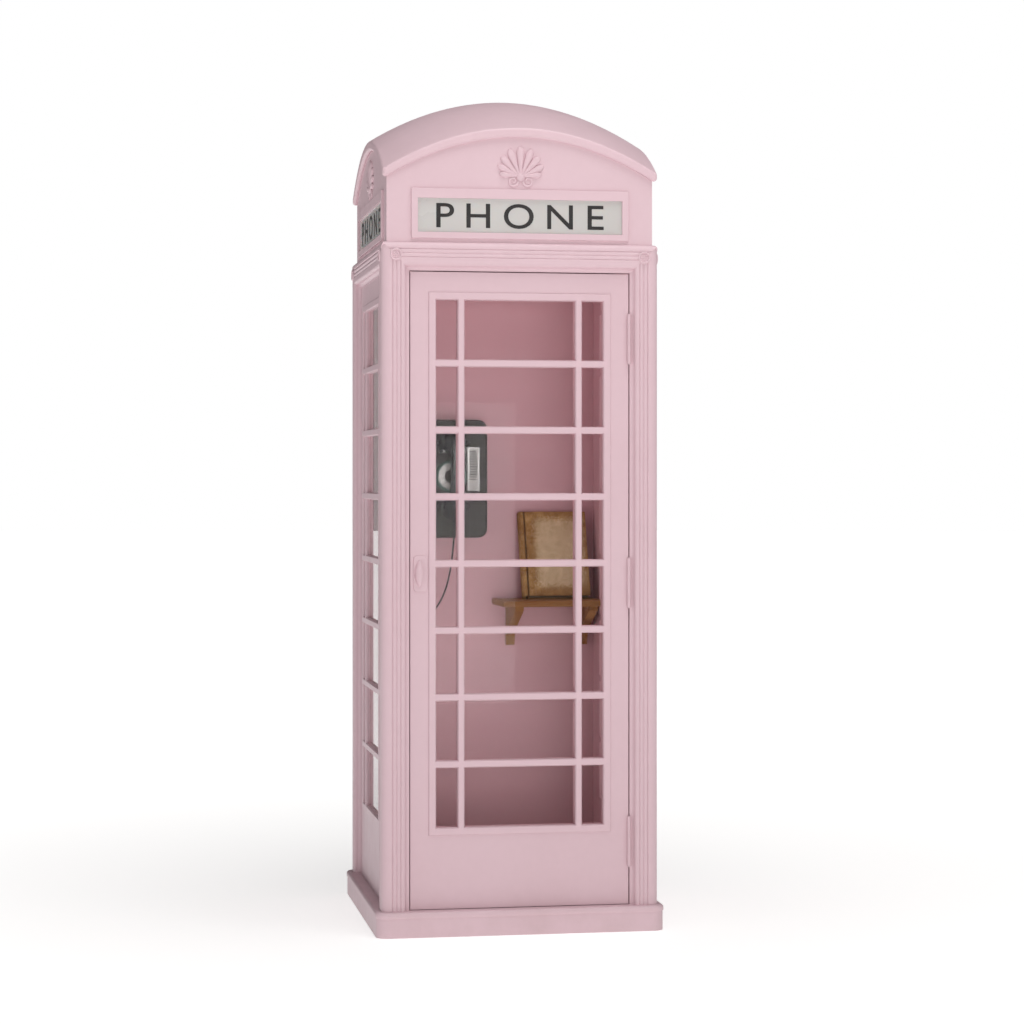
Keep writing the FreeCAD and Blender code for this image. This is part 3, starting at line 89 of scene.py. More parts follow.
# the same, with its first and last rows filled by a fan from their middles
def cappedTube(points):
    rows, columns = points.shape[:2]
    vertices, faces = gridSurface(points)
    ends = np.stack([points[0].mean(axis=0), points[-1].mean(axis=0)])
    ring = np.arange(columns)
    for first, hub in ((0, rows * columns), ((rows - 1) * columns, rows * columns + 1)):
        fan = np.stack([first + ring, first + np.roll(ring, -1), np.full(columns, hub)], axis=-1)
        faces += fan.tolist()
    return np.vstack([vertices, ends]), faces


# a profile of (radius, height) pairs turned about an axis through a centre; on the ribbed rows the radius
# falls and rises with the cosine of the angle, once for each rib
def turnedSurface(profile, centre, sides, axis="y", ribs=0, ribDepth=0.0, ribRows=()):
    profile = np.asarray(profile, float)
    angle = np.linspace(0, 2 * math.pi, sides, endpoint=False)
    radius = np.repeat(profile[:, :1], sides, axis=1)
    for row in ribRows:
        radius[row] += ribDepth * (0.5 + 0.5 * np.cos(ribs * angle)) - ribDepth
    across, up = radius * np.cos(angle), radius * np.sin(angle)
    along = np.repeat(profile[:, 1:2], sides, axis=1)
    order = (across, along, up) if axis == "y" else (across, up, along)
    return gridSurface(np.stack(order, axis=-1) + np.asarray(centre, float))


# a tube along a path: a circle of the radius given there, carried along it and square to it
def tubeAlong(path, radii, sides):
    path = np.asarray(path, float)
    tangent = np.gradient(path, axis=0)
    tangent /= np.linalg.norm(tangent, axis=1, keepdims=True)
    aside = np.array([0.0, 1.0, 0.0])
    normal = aside - (tangent @ aside)[:, None] * tangent
    normal /= np.linalg.norm(normal, axis=1, keepdims=True)
    other = np.cross(tangent, normal)
    angle = np.linspace(0, 2 * math.pi, sides, endpoint=False)
    radii = np.broadcast_to(np.asarray(radii, float), (len(path),))[:, None, None]
    ring = np.cos(angle)[None, :, None] * normal[:, None] + np.sin(angle)[None, :, None] * other[:, None]
    return cappedTube(path[:, None] + radii * ring)


# a thin box between two corners
def slab(low, high):
    low, high = np.asarray(low, float), np.asarray(high, float)
    pick = np.array([[i, j, k] for i in (0, 1) for j in (0, 1) for k in (0, 1)])
    faces = [[0, 1, 3, 2], [4, 6, 7, 5], [0, 4, 5, 1], [2, 3, 7, 6], [0, 2, 6, 4], [1, 5, 7, 3]]
    return np.where(pick == 1, high, low), faces


# several surfaces as one: each one's faces count from the points that come before it
def joined(surfaces):
    vertices, faces, start = [], [], 0
    for points, loops in surfaces:
        vertices.append(points)
        faces += [[start + i for i in loop] for loop in loops]
        start += len(points)
    return np.vstack(vertices), faces


# a surface turned by quarters of a circle about the vertical axis
def quarterTurned(surface, quarter):
    c, s = [(1, 0), (0, 1), (-1, 0), (0, -1)][quarter]
    points, faces = surface
    return points @ np.array([[c, s, 0], [-s, c, 0], [0, 0, 1]], float), faces


def onFourSides(surfaces):
    return [quarterTurned(surface, quarter) for quarter in range(4) for surface in surfaces]


# a finished mesh piece: merged, facing outwards, smooth up to an angle, riding on its body
def makePiece(name, surfaces, material, body, replaced=(), smooth=38, merge=1e-6):
    points, faces = joined(surfaces)
    mesh = bpy.data.meshes.new(name)
    mesh.from_pydata(points.tolist(), [], faces)
    shell = bmesh.new()
    shell.from_mesh(mesh)
    bmesh.ops.remove_doubles(shell, verts=shell.verts, dist=merge)
    bmesh.ops.recalc_face_normals(shell, faces=shell.faces)
    shell.to_mesh(mesh)
    shell.free()
    mesh.shade_smooth()
    mesh.set_sharp_from_angle(angle=math.radians(smooth))
    mesh.materials.append(material)
    piece = bpy.data.objects.new(name, mesh)
    scene.collection.objects.link(piece)
    if body:
        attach(piece, body)
    if replaced:
        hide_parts(*replaced)
    return piece


# a material whose principled shader reads textures on object coordinates, in metres
class Finish:
    def __init__(self, name):
        self.material = bpy.data.materials.new(name)
        self.material.use_nodes = True
        self.tree = self.material.node_tree
        self.shader = self.tree.nodes["Principled BSDF"]
        self.place = self.add("TexCoord").outputs["Object"]

    def add(self, kind, settings=None, **inputs):
        node = self.tree.nodes.new("ShaderNode" + kind)
        for key, value in (settings or {}).items():
            setattr(node, key, value)
        for key, value in inputs.items():
            self.feed(node.inputs[key], value)
        return node

    def feed(self, socket, value):
        if isinstance(value, bpy.types.NodeSocket):
            self.tree.links.new(value, socket)
        else:
            socket.default_value = value

    def set(self, **values):
        for key, value in values.items():
            self.feed(self.shader.inputs[key.replace("_", " ")], value)
        return self

    def uv(self):
        return self.add("UVMap").outputs["UV"]

    def mapped(self, scale, move=(0, 0, 0), source=None):
        node = self.add("Mapping", Vector=source or self.place, Location=move, Scale=scale)
        return node.outputs["Vector"]

    def noise(self, scale, detail, rough=0.5, source=None, twist=0.0):
        node = self.add("TexNoise", Vector=source or self.place, Scale=scale, Detail=detail,
                        Roughness=rough, Distortion=twist)
        return node.outputs["Fac"]

    def spots(self, scale):
        return self.add("TexVoronoi", Vector=self.place, Scale=scale).outputs["Distance"]

    def math(self, operation, first, second=0.0):
        node = self.add("Math", {"operation": operation})
        self.feed(node.inputs[0], first)
        self.feed(node.inputs[1], second)
        return node.outputs[0]

    def span(self, value, low, high, start, end):
        node = self.add("MapRange", Value=value)
        for key, number in (("From Min", low), ("From Max", high), ("To Min", start), ("To Max", end)):
            node.inputs[key].default_value = number
        return node.outputs["Result"]

    def blend(self, amount, first, second, mode="MIX"):
        node = self.add("Mix", {"data_type": "RGBA", "blend_type": mode})
        for socket, value in zip((node.inputs[0], node.inputs[6], node.inputs[7]), (amount, first, second)):
            self.feed(socket, (*value, 1) if isinstance(value, tuple) and len(value) == 3 else value)
        return node.outputs[2]

    def bump(self, height, distance, under=None):
        node = self.add("Bump", Height=height, Distance=distance, Strength=1.0)
        if under is not None:
            self.feed(node.inputs["Normal"], under)
        return node.outputs["Normal"]


# a colour with an alpha of one, made lighter or darker by a factor
def tinted(colour, amount):
    return (*(channel * amount for channel in colour), 1)


# the tint for the cabin's inside is painted shade, multiplied into the paint below the ceiling
paintLook = dict(colour=(0.70, 0.51, 0.555), deep=(0.66, 0.465, 0.505), grime=(0.50, 0.36, 0.36),
                 insideShade=(1.0, 0.80, 0.82, 1), insideShadeEdge=0.381, ceiling=1.978, edge=0.002, grimeTop=0.32,
                 grimeMost=0.30, specks=0.22, dull=0.50, glossy=0.37, peel=0.00006, pits=0.00010,
                 swell=0.0005, fibre=0.00014)


# semi-matte paint: cloudy tint, with painted shade inside the cabin (below the ceiling, where the larger of
# the distances from the middle, across and along, is short), soft grime near the ground, and a fine orange
# peel over all
def makePaint(name, grain=None, pits=1.0, swell=1.0):
    look, paint = paintLook, Finish(name)
    cloud = paint.span(paint.noise(1.9, 4, 0.55), 0.35, 0.68, 0, 1)
    mottle = paint.span(paint.noise(38, 5, 0.6), 0.38, 0.66, 0, 1)
    tint = paint.blend(paint.math("MULTIPLY", cloud, 0.55), look["colour"], look["deep"])
    tint = paint.blend(paint.math("MULTIPLY", mottle, 0.16), tint, tinted(look["colour"], 1.07))
    split = paint.add("SeparateXYZ", Vector=paint.place)
    across, along, up = (split.outputs[axis] for axis in "XYZ")
    # painted shade: inside the cabin and below the ceiling the paint is darkened and deepened to stand in for
    # the shade there
    reach = paint.math("MAXIMUM", paint.math("ABSOLUTE", across), paint.math("ABSOLUTE", along))
    within = paint.span(reach, look["insideShadeEdge"] - look["edge"], look["insideShadeEdge"], 1, 0)
    below = paint.span(up, look["ceiling"], look["ceiling"] + look["edge"], 1, 0)
    insideShades = paint.math("MULTIPLY", within, below)
    tint = paint.blend(insideShades, tint, paint.blend(1.0, tint, look["insideShade"], "MULTIPLY"))
    low = paint.span(up, 0.0, look["grimeTop"], 1, 0)
    patches = paint.span(paint.noise(9, 6, 0.65), 0.4, 0.7, 0, look["grimeMost"])
    dirt = paint.math("MULTIPLY", paint.math("POWER", low, 2.5), patches)
    tint = paint.blend(dirt, tint, look["grime"])
    specks = paint.span(paint.noise(260, 2, 0.5), 0.70, 0.78, 0, look["specks"])
    tint = paint.blend(specks, tint, look["deep"])
    rough = paint.span(paint.noise(16, 4, 0.6), 0.3, 0.7, look["glossy"], look["dull"])
    normal = paint.bump(paint.noise(11, 2, 0.4), look["swell"] * swell)
    normal = paint.bump(paint.noise(170, 3, 0.55), look["pits"] * pits, under=normal)
    if grain:
        fibres = paint.noise(1, 5, 0.6, paint.mapped(grain))
        normal = paint.bump(fibres, look["fibre"], under=normal)
    normal = paint.bump(paint.noise(620, 2, 0.5), look["peel"], under=normal)
    paint.set(Base_Color=tint, Roughness=rough, Normal=normal, IOR=1.5, Specular_IOR_Level=0.34)
    return paint.material


woodLook = dict(light=(0.40, 0.185, 0.060), dark=(0.19, 0.070, 0.020), pore=(0.085, 0.030, 0.010),
                bandDepth=0.0004, fibreDepth=0.00022)


# oiled hardwood: growth bands stretched along the grain, with pores and fibres
def makeWood(name, along, across, shift=(0, 0, 0)):
    look, wood = woodLook, Finish(name)
    bands = wood.noise(1, 6, 0.62, wood.mapped(along, shift), twist=0.8)
    fibres = wood.noise(1, 4, 0.7, wood.mapped(across, shift))
    tint = wood.blend(wood.span(bands, 0.34, 0.66, 0, 1), look["light"], look["dark"])
    tint = wood.blend(wood.span(fibres, 0.62, 0.74, 0, 0.55), tint, look["pore"])
    worn = wood.span(wood.noise(7, 3), 0.35, 0.7, 0, 0.25)
    tint = wood.blend(worn, tint, tinted(look["light"], 1.25))
    normal = wood.bump(bands, look["bandDepth"])
    normal = wood.bump(fibres, look["fibreDepth"], under=normal)
    wood.set(Base_Color=tint, Roughness=wood.span(fibres, 0.3, 0.7, 0.5, 0.72), Normal=normal,
             Specular_IOR_Level=0.2)
    return wood.material


# enamel with a crinkled skin, worn paler in patches and in fine specks
def makeEnamel(name, colour, crinkle, rough=(0.34, 0.52)):
    enamel = Finish(name)
    worn = enamel.span(enamel.noise(22, 5, 0.6), 0.36, 0.7, 0, 0.5)
    tint = enamel.blend(worn, colour, tinted(colour, 1.45))
    specks = enamel.span(enamel.noise(300, 2), 0.62, 0.75, 0, 0.35)
    tint = enamel.blend(specks, tint, tinted(colour, 2.1))
    normal = enamel.bump(enamel.noise(520, 3, 0.6), crinkle)
    gloss = enamel.span(enamel.noise(30, 4), 0.3, 0.7, *rough)
    enamel.set(Base_Color=tint, Roughness=gloss, Normal=normal, Specular_IOR_Level=0.3)
    return enamel.material


# bare or plated metal with fine scratches stretched by a mapping
def makeMetal(name, colour, rough, stretch=(40, 900, 900)):
    metal = Finish(name)
    lines = metal.noise(1, 4, 0.65, metal.mapped(stretch))
    smudge = metal.noise(26, 4, 0.6)
    tint = metal.blend(metal.span(smudge, 0.35, 0.7, 0, 0.5), colour, tinted(colour, 0.8))
    fine = metal.span(lines, 0.3, 0.7, rough * 0.7, rough * 1.25)
    gloss = metal.math("ADD", fine, metal.span(smudge, 0.4, 0.7, 0, 0.08))
    metal.set(Base_Color=tint, Metallic=1.0, Roughness=gloss, Normal=metal.bump(lines, 0.00003))
    return metal.material


# moulded plastic, smudged paler and duller by handling
def makePlastic(name, colour, rough, skin=0.00002):
    plastic = Finish(name)
    smudge = plastic.noise(34, 5, 0.62)
    tint = plastic.blend(plastic.span(smudge, 0.4, 0.7, 0, 0.6), colour, tinted(colour, 1.8))
    gloss = plastic.span(smudge, 0.32, 0.7, rough * 0.8, rough * 1.5)
    normal = plastic.bump(plastic.noise(900, 2), skin)
    plastic.set(Base_Color=tint, Specular_IOR_Level=0.3, Roughness=gloss, Normal=normal)
    return plastic.material


glassLook = dict(colour=(0.985, 0.99, 0.985, 1), bend=1.15, smudge=0.05, wave=0.0002)


# clear float glass that lets lamplight through, faintly green and smudged
def makeGlass():
    look, glass = glassLook, Finish("clearGlass")
    smudge = glass.span(glass.noise(5, 6, 0.65), 0.5, 0.8, 0.0, look["smudge"])
    glass.set(Base_Color=look["colour"], Roughness=smudge, IOR=look["bend"], Transmission_Weight=1.0,
              Normal=glass.bump(glass.noise(3.2, 2, 0.4), look["wave"]))
    rays = glass.add("LightPath")
    lamps = glass.math("MAXIMUM", rays.outputs["Is Shadow Ray"], rays.outputs["Is Diffuse Ray"])
    through = glass.add("BsdfTransparent", Color=look["colour"])
    both = glass.add("MixShader")
    glass.feed(both.inputs[0], lamps)
    glass.feed(both.inputs[1], glass.shader.outputs[0])
    glass.feed(both.inputs[2], through.outputs[0])
    output = glass.tree.nodes["Material Output"]
    glass.feed(output.inputs["Surface"], both.outputs[0])
    return glass.material


# milky glass, hazy in patches and faintly specked, under a thin clear coat
def makeOpal(name, colour, rough):
    opal = Finish(name)
    haze = opal.span(opal.noise(6, 5, 0.6), 0.35, 0.7, 0, 0.5)
    tint = opal.blend(haze, colour, tinted(colour, 0.93))
    specks = opal.span(opal.noise(210, 2), 0.66, 0.76, 0, 0.25)
    tint = opal.blend(specks, tint, tinted(colour, 0.8))
    opal.set(Base_Color=tint, Roughness=opal.span(haze, 0, 0.5, rough, rough * 1.5), Coat_Weight=0.25,
             Coat_Roughness=0.08, Subsurface_Weight=0.12, Subsurface_Scale=0.004,
             Normal=opal.bump(opal.noise(14, 2), 0.0002))
    return opal.material


stoneLook = dict(dark=(0.50, 0.41, 0.39), pale=(0.62, 0.52, 0.50), chip=(0.70, 0.63, 0.60), rough=0.0006)


# cast stone: cloudy, with paler chips in it and a rough skin
def makeStone():
    look, stone = stoneLook, Finish("floorStone")
    cloud = stone.span(stone.noise(4, 6, 0.65), 0.35, 0.68, 0, 1)
    tint = stone.blend(cloud, look["dark"], look["pale"])
    chips = stone.span(stone.spots(130), 0.0, 0.35, 0.5, 0)
    tint = stone.blend(chips, tint, look["chip"])
    normal = stone.bump(stone.noise(60, 6, 0.65), look["rough"])
    stone.set(Base_Color=tint, Roughness=stone.span(cloud, 0, 1, 0.62, 0.85), Normal=normal)
    return stone.material


clothLook = dict(dark=(0.31, 0.150, 0.052), tan=(0.56, 0.33, 0.135), faded=(0.66, 0.48, 0.285),
                 bleached=(0.84, 0.66, 0.44), spots=(0.17, 0.10, 0.055), crease=(0.10, 0.052, 0.025),
                 threads=7800, weave=0.00012, wear=0.0003, across=(0.050, 0.203), up=(0.030, 0.258),
                 hinge=0.0165)


# book cloth: a plain weave, the product of two sines on the piece's own map, faded in the middle of the board
# between its limits across and up, and darkened along the crease by the hinge with painted shade and dirt
def makeCloth():
    look, cloth = clothLook, Finish("bookCloth")
    split = cloth.add("SeparateXYZ", Vector=cloth.uv())
    warp = cloth.math("SINE", cloth.math("MULTIPLY", split.outputs["X"], look["threads"]))
    weft = cloth.math("SINE", cloth.math("MULTIPLY", split.outputs["Y"], look["threads"]))
    weave = cloth.math("MULTIPLY", warp, weft)
    worn = cloth.noise(30, 6, 0.68)
    tint = cloth.blend(cloth.span(worn, 0.36, 0.66, 0, 1), look["dark"], look["tan"])
    edge = cloth.span(cloth.noise(190, 6, 0.75), 0.3, 0.7, -0.016, 0.016)
    masks = []
    for axis, (low, high) in zip("XY", (look["across"], look["up"])):
        value = cloth.math("ADD", split.outputs[axis], edge)
        masks.append(cloth.span(value, low - 0.010, low + 0.010, 0, 1))
        masks.append(cloth.span(value, high - 0.012, high + 0.012, 1, 0))
    inside = masks[0]
    for mask in masks[1:]:
        inside = cloth.math("MULTIPLY", inside, mask)
    pale = cloth.blend(cloth.span(worn, 0.35, 0.7, 0, 1), look["faded"], look["bleached"])
    tint = cloth.blend(cloth.math("MULTIPLY", inside, 0.92), tint, pale)
    tint = cloth.blend(cloth.span(cloth.noise(420, 3, 0.7), 0.5, 0.75, 0, 0.35), tint, look["spots"])
    # painted shade and dirt: a dark band along the groove by the hinge
    away = cloth.math("ABSOLUTE", cloth.math("SUBTRACT", split.outputs["X"], look["hinge"]))
    tint = cloth.blend(cloth.span(away, 0.0012, 0.0046, 0.9, 0), tint, look["crease"])
    normal = cloth.bump(weave, look["weave"])
    normal = cloth.bump(worn, look["wear"], under=normal)
    cloth.set(Base_Color=tint, Roughness=0.9, Normal=normal, Specular_IOR_Level=0.12)
    return cloth.material


paperLook = dict(colour=(0.50, 0.41, 0.29), leaf=0.00028, depth=0.00010)


# paper: the leaves show as fine lines, a sine across the block's thickness
def makePaper():
    look, paper = paperLook, Finish("bookPaper")
    colour = look["colour"]
    across = paper.add("SeparateXYZ", Vector=paper.uv()).outputs["X"]
    leaves = paper.math("SINE", paper.math("MULTIPLY", across, 2 * math.pi / look["leaf"]))
    band = paper.noise(1, 4, 0.7, paper.mapped((900, 2, 1), source=paper.uv()))
    tint = paper.blend(paper.span(band, 0.3, 0.7, 0, 1), colour, tinted(colour, 0.7))
    tint = paper.blend(paper.span(leaves, -1, 1, 0, 0.3), tint, tinted(colour, 0.62))
    paper.set(Base_Color=tint, Roughness=0.9, Normal=paper.bump(leaves, look["depth"]))
    return paper.material


# card, unevenly aged
def makeCard():
    card = Finish("cardPaper")
    age = card.span(card.noise(40, 5, 0.6), 0.35, 0.7, 0, 1)
    tint = card.blend(age, (0.60, 0.60, 0.585), (0.68, 0.68, 0.66))
    normal = card.bump(card.noise(500, 3), 0.00002)
    card.set(Base_Color=tint, Roughness=card.span(age, 0, 1, 0.42, 0.6), Normal=normal)
    return card.material


finishes = {
    "painted_casting": makePaint("castingPaint"),
    "painted_timber": makePaint("timberPaint", grain=(70, 70, 3), pits=0.5, swell=0.8),
    "window_metal": makePaint("windowPaint", pits=0.5, swell=0.5),
    "hinge_steel": makePaint("hingePaint", pits=0.7, swell=0.3),
    "pin_steel": makePaint("pinPaint", pits=0.7, swell=0.3),
    "clear_glass": makeGlass(),
    "opal_glass": makeOpal("opalGlass", (0.57, 0.545, 0.525), 0.2),
    "floor_stone": makeStone(),
    "lamp_metal": makeEnamel("lampEnamel", (0.50, 0.44, 0.43), 0.00004),
    "lamp_glass": makeOpal("lampGlass", (0.78, 0.77, 0.73), 0.3),
    "case_enamel": makeEnamel("caseEnamel", (0.034, 0.029, 0.027), 0.00022, (0.5, 0.62)),
    "dial_enamel": makeEnamel("dialEnamel", (0.085, 0.125, 0.110), 0.00006, (0.26, 0.4)),
    "wheel_metal": makeMetal("wheelSteel", (0.40, 0.375, 0.37), 0.42, (300, 300, 300)),
    "bright_trim": makeMetal("brightTrim", (0.34, 0.325, 0.32), 0.34),
    "handset_plastic": makePlastic("handsetPlastic", (0.011, 0.010, 0.011), 0.26),
    "cord_sheath": makePlastic("cordSheath", (0.016, 0.014, 0.015), 0.5, 0.00006),
    "card_paper": makeCard(),
    "shelf_wood": makeWood("shelfWood", (1.6, 26, 26), (9, 330, 330)),
    "book_cloth": makeCloth(),
    "book_paper": makePaper(),
}
railPaint = makePaint("railPaint", grain=(3, 70, 70), pits=0.5, swell=0.8)
bracketWood = makeWood("bracketWood", (24, 24, 2.2), (330, 330, 12), (0.3, 0.1, 0))
inkBlack = makePlastic("signBlack", (0.030, 0.027, 0.027), 0.45)
faintInk = makePlastic("fadedInk", (0.115, 0.072, 0.04), 0.8)
plateWhite = makeOpal("plateWhite", (0.62, 0.60, 0.58), 0.3)


# every CAD node gets the finish of its slot, or one with the grain along its own length
def dressNodes():
    special = {"door_top_rail": railPaint, "door_kick_panel": railPaint, "shelf_brackets": bracketWood}
    for part in frame["record"]["subparts"]:
        name = part["node"]
        material = special.get(name, finishes[part["material_slot"]])
        for holder in frame["nodes"][name].material_slots:
            holder.material = material


dressNodes()
print("materials on every node")


# the cord's route, from the handset's mouth cup down and round to the gland under the case
cordRoute = [(-0.103, 0.236, 1.199), (-0.105, 0.236, 1.151), (-0.109, 0.237, 1.101), (-0.115, 0.239, 1.051),
             (-0.125, 0.243, 1.001), (-0.141, 0.249, 0.955), (-0.165, 0.258, 0.916), (-0.195, 0.269, 0.896),
             (-0.222, 0.281, 0.912), (-0.235, 0.291, 0.955), (-0.236, 0.299, 1.003), (-0.231, 0.306, 1.049),
             (-0.224, 0.311, 1.093), (-0.219, 0.314, 1.1344)]
cordLook = dict(radius=0.0025, sides=14, steps=10)


# the points of a smooth spline that follows the route's control points
def splinePath(route):
    curve = bpy.data.curves.new("route", "CURVE")
    curve.dimensions = "3D"
    curve.resolution_u = cordLook["steps"]
    spline = curve.splines.new("NURBS")
    spline.points.add(len(route) - 1)
    for point, place in zip(spline.points, route):
        point.co = (*place, 1)
    spline.order_u = 3
    spline.use_endpoint_u = True
    holder = bpy.data.objects.new("route", curve)
    scene.collection.objects.link(holder)
    line = bpy.data.meshes.new_from_object(holder)
    points = np.array([vertex.co for vertex in line.vertices], float).reshape(-1, 3)
    bpy.data.objects.remove(holder)
    return points


# the cord: a tube along the spline
def makeCord():
    path = splinePath(cordRoute)
    tube = tubeAlong(path, cordLook["radius"], cordLook["sides"])
    cord = makePiece("handsetLead", [tube], finishes["cord_sheath"], None, ["handset_cord"],
                     smooth=60)
    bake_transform(cord)


makeCord()
print("cord")


rosetteLook = dict(radius=18.5, ring=15.2, ringHalf=3.3, ringRise=4.6, flower=12.2, petals=8, petalRise=2.1,
                   button=3.6, base=0.7, sunk=1.5, sides=64, fromCorner=42.5, fromTop=38)


# a turned boss whose height is the largest of three: a ring, half an ellipse across; petals, a cosine of the
# angle by a sine of the radius, on a dished ground; and a round button in the middle
def makeRosettes():
    look = rosetteLook
    radius = np.linspace(0, look["radius"], 26)[:, None]
    angle = np.linspace(0, 2 * math.pi, look["sides"], endpoint=False)[None, :]
    ring = np.sqrt(np.clip(1 - ((radius - look["ring"]) / look["ringHalf"]) ** 2, 0, 1)) * look["ringRise"]
    flower, dot = look["flower"], look["button"]
    dish = 0.2 * np.clip((flower - radius) / flower, 0, 1)
    petals = look["petalRise"] * np.abs(np.cos(look["petals"] / 2 * angle)) ** 0.6
    petals = petals * np.sin(math.pi * np.clip(radius / flower, 0, 1)) ** 0.8
    button = dot * np.sqrt(np.clip(1 - (radius / dot) ** 2, 0, 1))
    rise = np.maximum(np.maximum(ring, look["base"] + petals + dish), button)
    rise = np.where(radius >= look["radius"] - 0.01, 0, rise)
    post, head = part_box("post_front_left"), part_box("head_front")
    face, side, top = post[0].y, -post[0].x, head[1].z
    surfaces = []
    for hand in (-1, 1):
        x = hand * (side - look["fromCorner"] * mm) + radius * mm * np.cos(angle)
        z = top - look["fromTop"] * mm + radius * mm * np.sin(angle)
        surfaces.append(gridSurface(np.stack([x, face - rise * mm, z], axis=-1)))
        rim = np.stack([x[-1:], np.full_like(x[-1:], face + look["sunk"] * mm), z[-1:]], axis=-1)
        back = np.stack([np.stack([x[-1], np.full(look["sides"], face), z[-1]], axis=-1), rim[0]])
        surfaces.append(cappedTube(np.concatenate([back, back[-1:]], axis=0)))
    makePiece("cornerRosettes", onFourSides(surfaces), finishes["painted_casting"], "cabin",
              ["rosettes"], merge=2e-5)


lobeLook = dict(angles=(0, 21, 42, 63, 84), lengths=(90, 87, 80, 70, 57),
                widths=(12.5, 12.3, 11.6, 10.6, 9.6),
                rise=8.6, footRise=0.45, shoulder=0.74, narrow=0.26, crease=0.10, sunk=0.8, foot=30, spread=7,
                steps=30, across=15)


# one lobe of the shell: straight, its half width grows to a shoulder and closes in a round end, and its
# height across it is half an ellipse, with a crease down the middle, that sinks towards the foot
def lobeSurface(angle, length, width, x0, z0, face):
    look = lobeLook
    s = np.linspace(0, 1, look["steps"]) ** 0.9
    t = np.linspace(-1, 1, look["across"])
    turn, end = math.radians(angle), look["shoulder"]
    grow = look["narrow"] + (1 - look["narrow"]) * np.clip(s / end, 0, 1) ** 1.2
    close = np.sqrt(np.clip(1 - (np.clip(s - end, 0, 1) / (1 - end)) ** 2, 0.0004, 1))
    half = width * grow * close
    body = np.sqrt(np.clip(1 - t ** 2, 0, 1)) - look["crease"] * np.exp(-(t / 0.12) ** 2)
    grown = look["footRise"] + (1 - look["footRise"]) * np.clip(s / end, 0, 1)
    rise = look["rise"] * (grown * close ** 0.8)[:, None] * body[None, :]
    x = x0 + length * s * math.sin(turn)
    z = z0 + length * s * math.cos(turn)
    wide = t[None, :] * half[:, None]
    px, pz = x[:, None] + wide * math.cos(turn), z[:, None] - wide * math.sin(turn)
    front = np.stack([px, face - rise, pz], axis=-1)
    back = np.stack([px[:, ::-1], np.full_like(px, face + look["sunk"]), pz[:, ::-1]], axis=-1)
    return cappedTube(np.concatenate([front, back], axis=1) * mm)


scrollLook = dict(turns=1.3, size=15.5, shrink=0.74, thick=4.3, taper=2.0, steps=70, sides=12, apart=7.0,
                  drop=15)


# a scroll: a tapering tube whose path is a spiral that shrinks evenly with its angle
def scrollSurface(hand, x0, z0, face):
    look = scrollLook
    turn = np.linspace(0, look["turns"] * 2 * math.pi, look["steps"])
    size = look["size"] * (1 - look["shrink"] * turn / turn[-1])
    x = x0 + hand * (look["size"] - size * np.cos(turn))
    z = z0 - size * np.sin(turn)
    path = np.stack([x, np.full_like(x, face - 1.0), z], axis=-1)
    return tubeAlong(path * mm, (look["thick"] - look["taper"] * turn / turn[-1]) * mm, look["sides"])


# the shell over each sign: lobes fanned out to both sides, two scrolls under them and a boss at their foot
def makeOrnaments():
    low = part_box("roof_ornaments")[0]
    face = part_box("fascia_front")[0].y / mm
    z0 = low.z / mm + lobeLook["foot"]
    surfaces = []
    for angle, length, width in zip(lobeLook["angles"], lobeLook["lengths"], lobeLook["widths"]):
        for hand in ((1,) if angle == 0 else (-1, 1)):
            foot = lobeLook["spread"] * math.sin(math.radians(angle)) * hand
            surfaces.append(lobeSurface(angle * hand, length, width, foot, z0, face))
    for hand in (-1, 1):
        surfaces.append(scrollSurface(hand, hand * scrollLook["apart"], z0 - scrollLook["drop"], face))
    boss = [(0, -8.8), (5, -8.2), (9.5, -6.2), (12.2, -3), (13, 0.8), (0, 0.8)]
    surfaces.append(turnedSurface(np.array(boss) * mm, (0, face * mm, (z0 - 3) * mm), sides=32))
    makePiece("shellOrnaments", onFourSides(surfaces), finishes["painted_casting"], "cabin",
              ["roof_ornaments"], smooth=50)


makeRosettes()
makeOrnaments()
print("rosettes and ornaments")


signLook = dict(text="PHONE", width=0.500, height=0.073, thick=0.0006, spacing=1.45, weight=0.004)


# plain letters as a mesh, scaled to a width (in proportion where it is None) and a height, their middle at
# the origin, standing in the XZ plane and facing -Y
def letters(text, width, height, thick, spacing=1.0, weight=0.0):
    font = bpy.data.curves.new("letters", "FONT")
    font.body = text
    font.space_character = spacing
    font.extrude = 0.02  # any depth: it is scaled to the thickness below
    font.offset = weight
    font.resolution_u = 6
    holder = bpy.data.objects.new("letters", font)
    scene.collection.objects.link(holder)
    flat = bpy.data.meshes.new_from_object(holder)
    points = np.array([vertex.co for vertex in flat.vertices], float).reshape(-1, 3)
    faces = [list(face.vertices) for face in flat.polygons]
    bpy.data.objects.remove(holder)
    low, high = points.min(axis=0), points.max(axis=0)
    points = (points - (low + high) / 2) / (high - low)
    scale = width if width else height * (high[0] - low[0]) / (high[1] - low[1])
    return np.stack([points[:, 0] * scale, -points[:, 2] * thick, points[:, 1] * height], axis=-1), faces


# the word on each sign glass
def makeSignLetters():
    look = signLook
    points, faces = letters(look["text"], look["width"], look["height"], look["thick"], look["spacing"],
                            look["weight"])
    low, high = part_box("sign_glasses")
    middle = np.array([0, low.y - look["thick"] * 0.5, (low.z + high.z) / 2])
    makePiece("signLetters", onFourSides([(points + middle, faces)]), inkBlack, "cabin",
              smooth=30)


makeSignLetters()
print("sign letters")


handsetLook = dict(x=-103.0, ear=1453.0, mouth=1245.0, seam=256.0, front=206.4, sides=56,
                   gripThick=7.6, gripWide=16.2, thicker=6.2, wider=2.4, past=12, corner=0.72, bend=16,
                   bendFrom=0.86,
                   capSides=144, ribs=36, ribDepth=0.55, holeRings=((0, 1), (7, 6), (14, 12), (21, 16)),
                   rest=48.5)


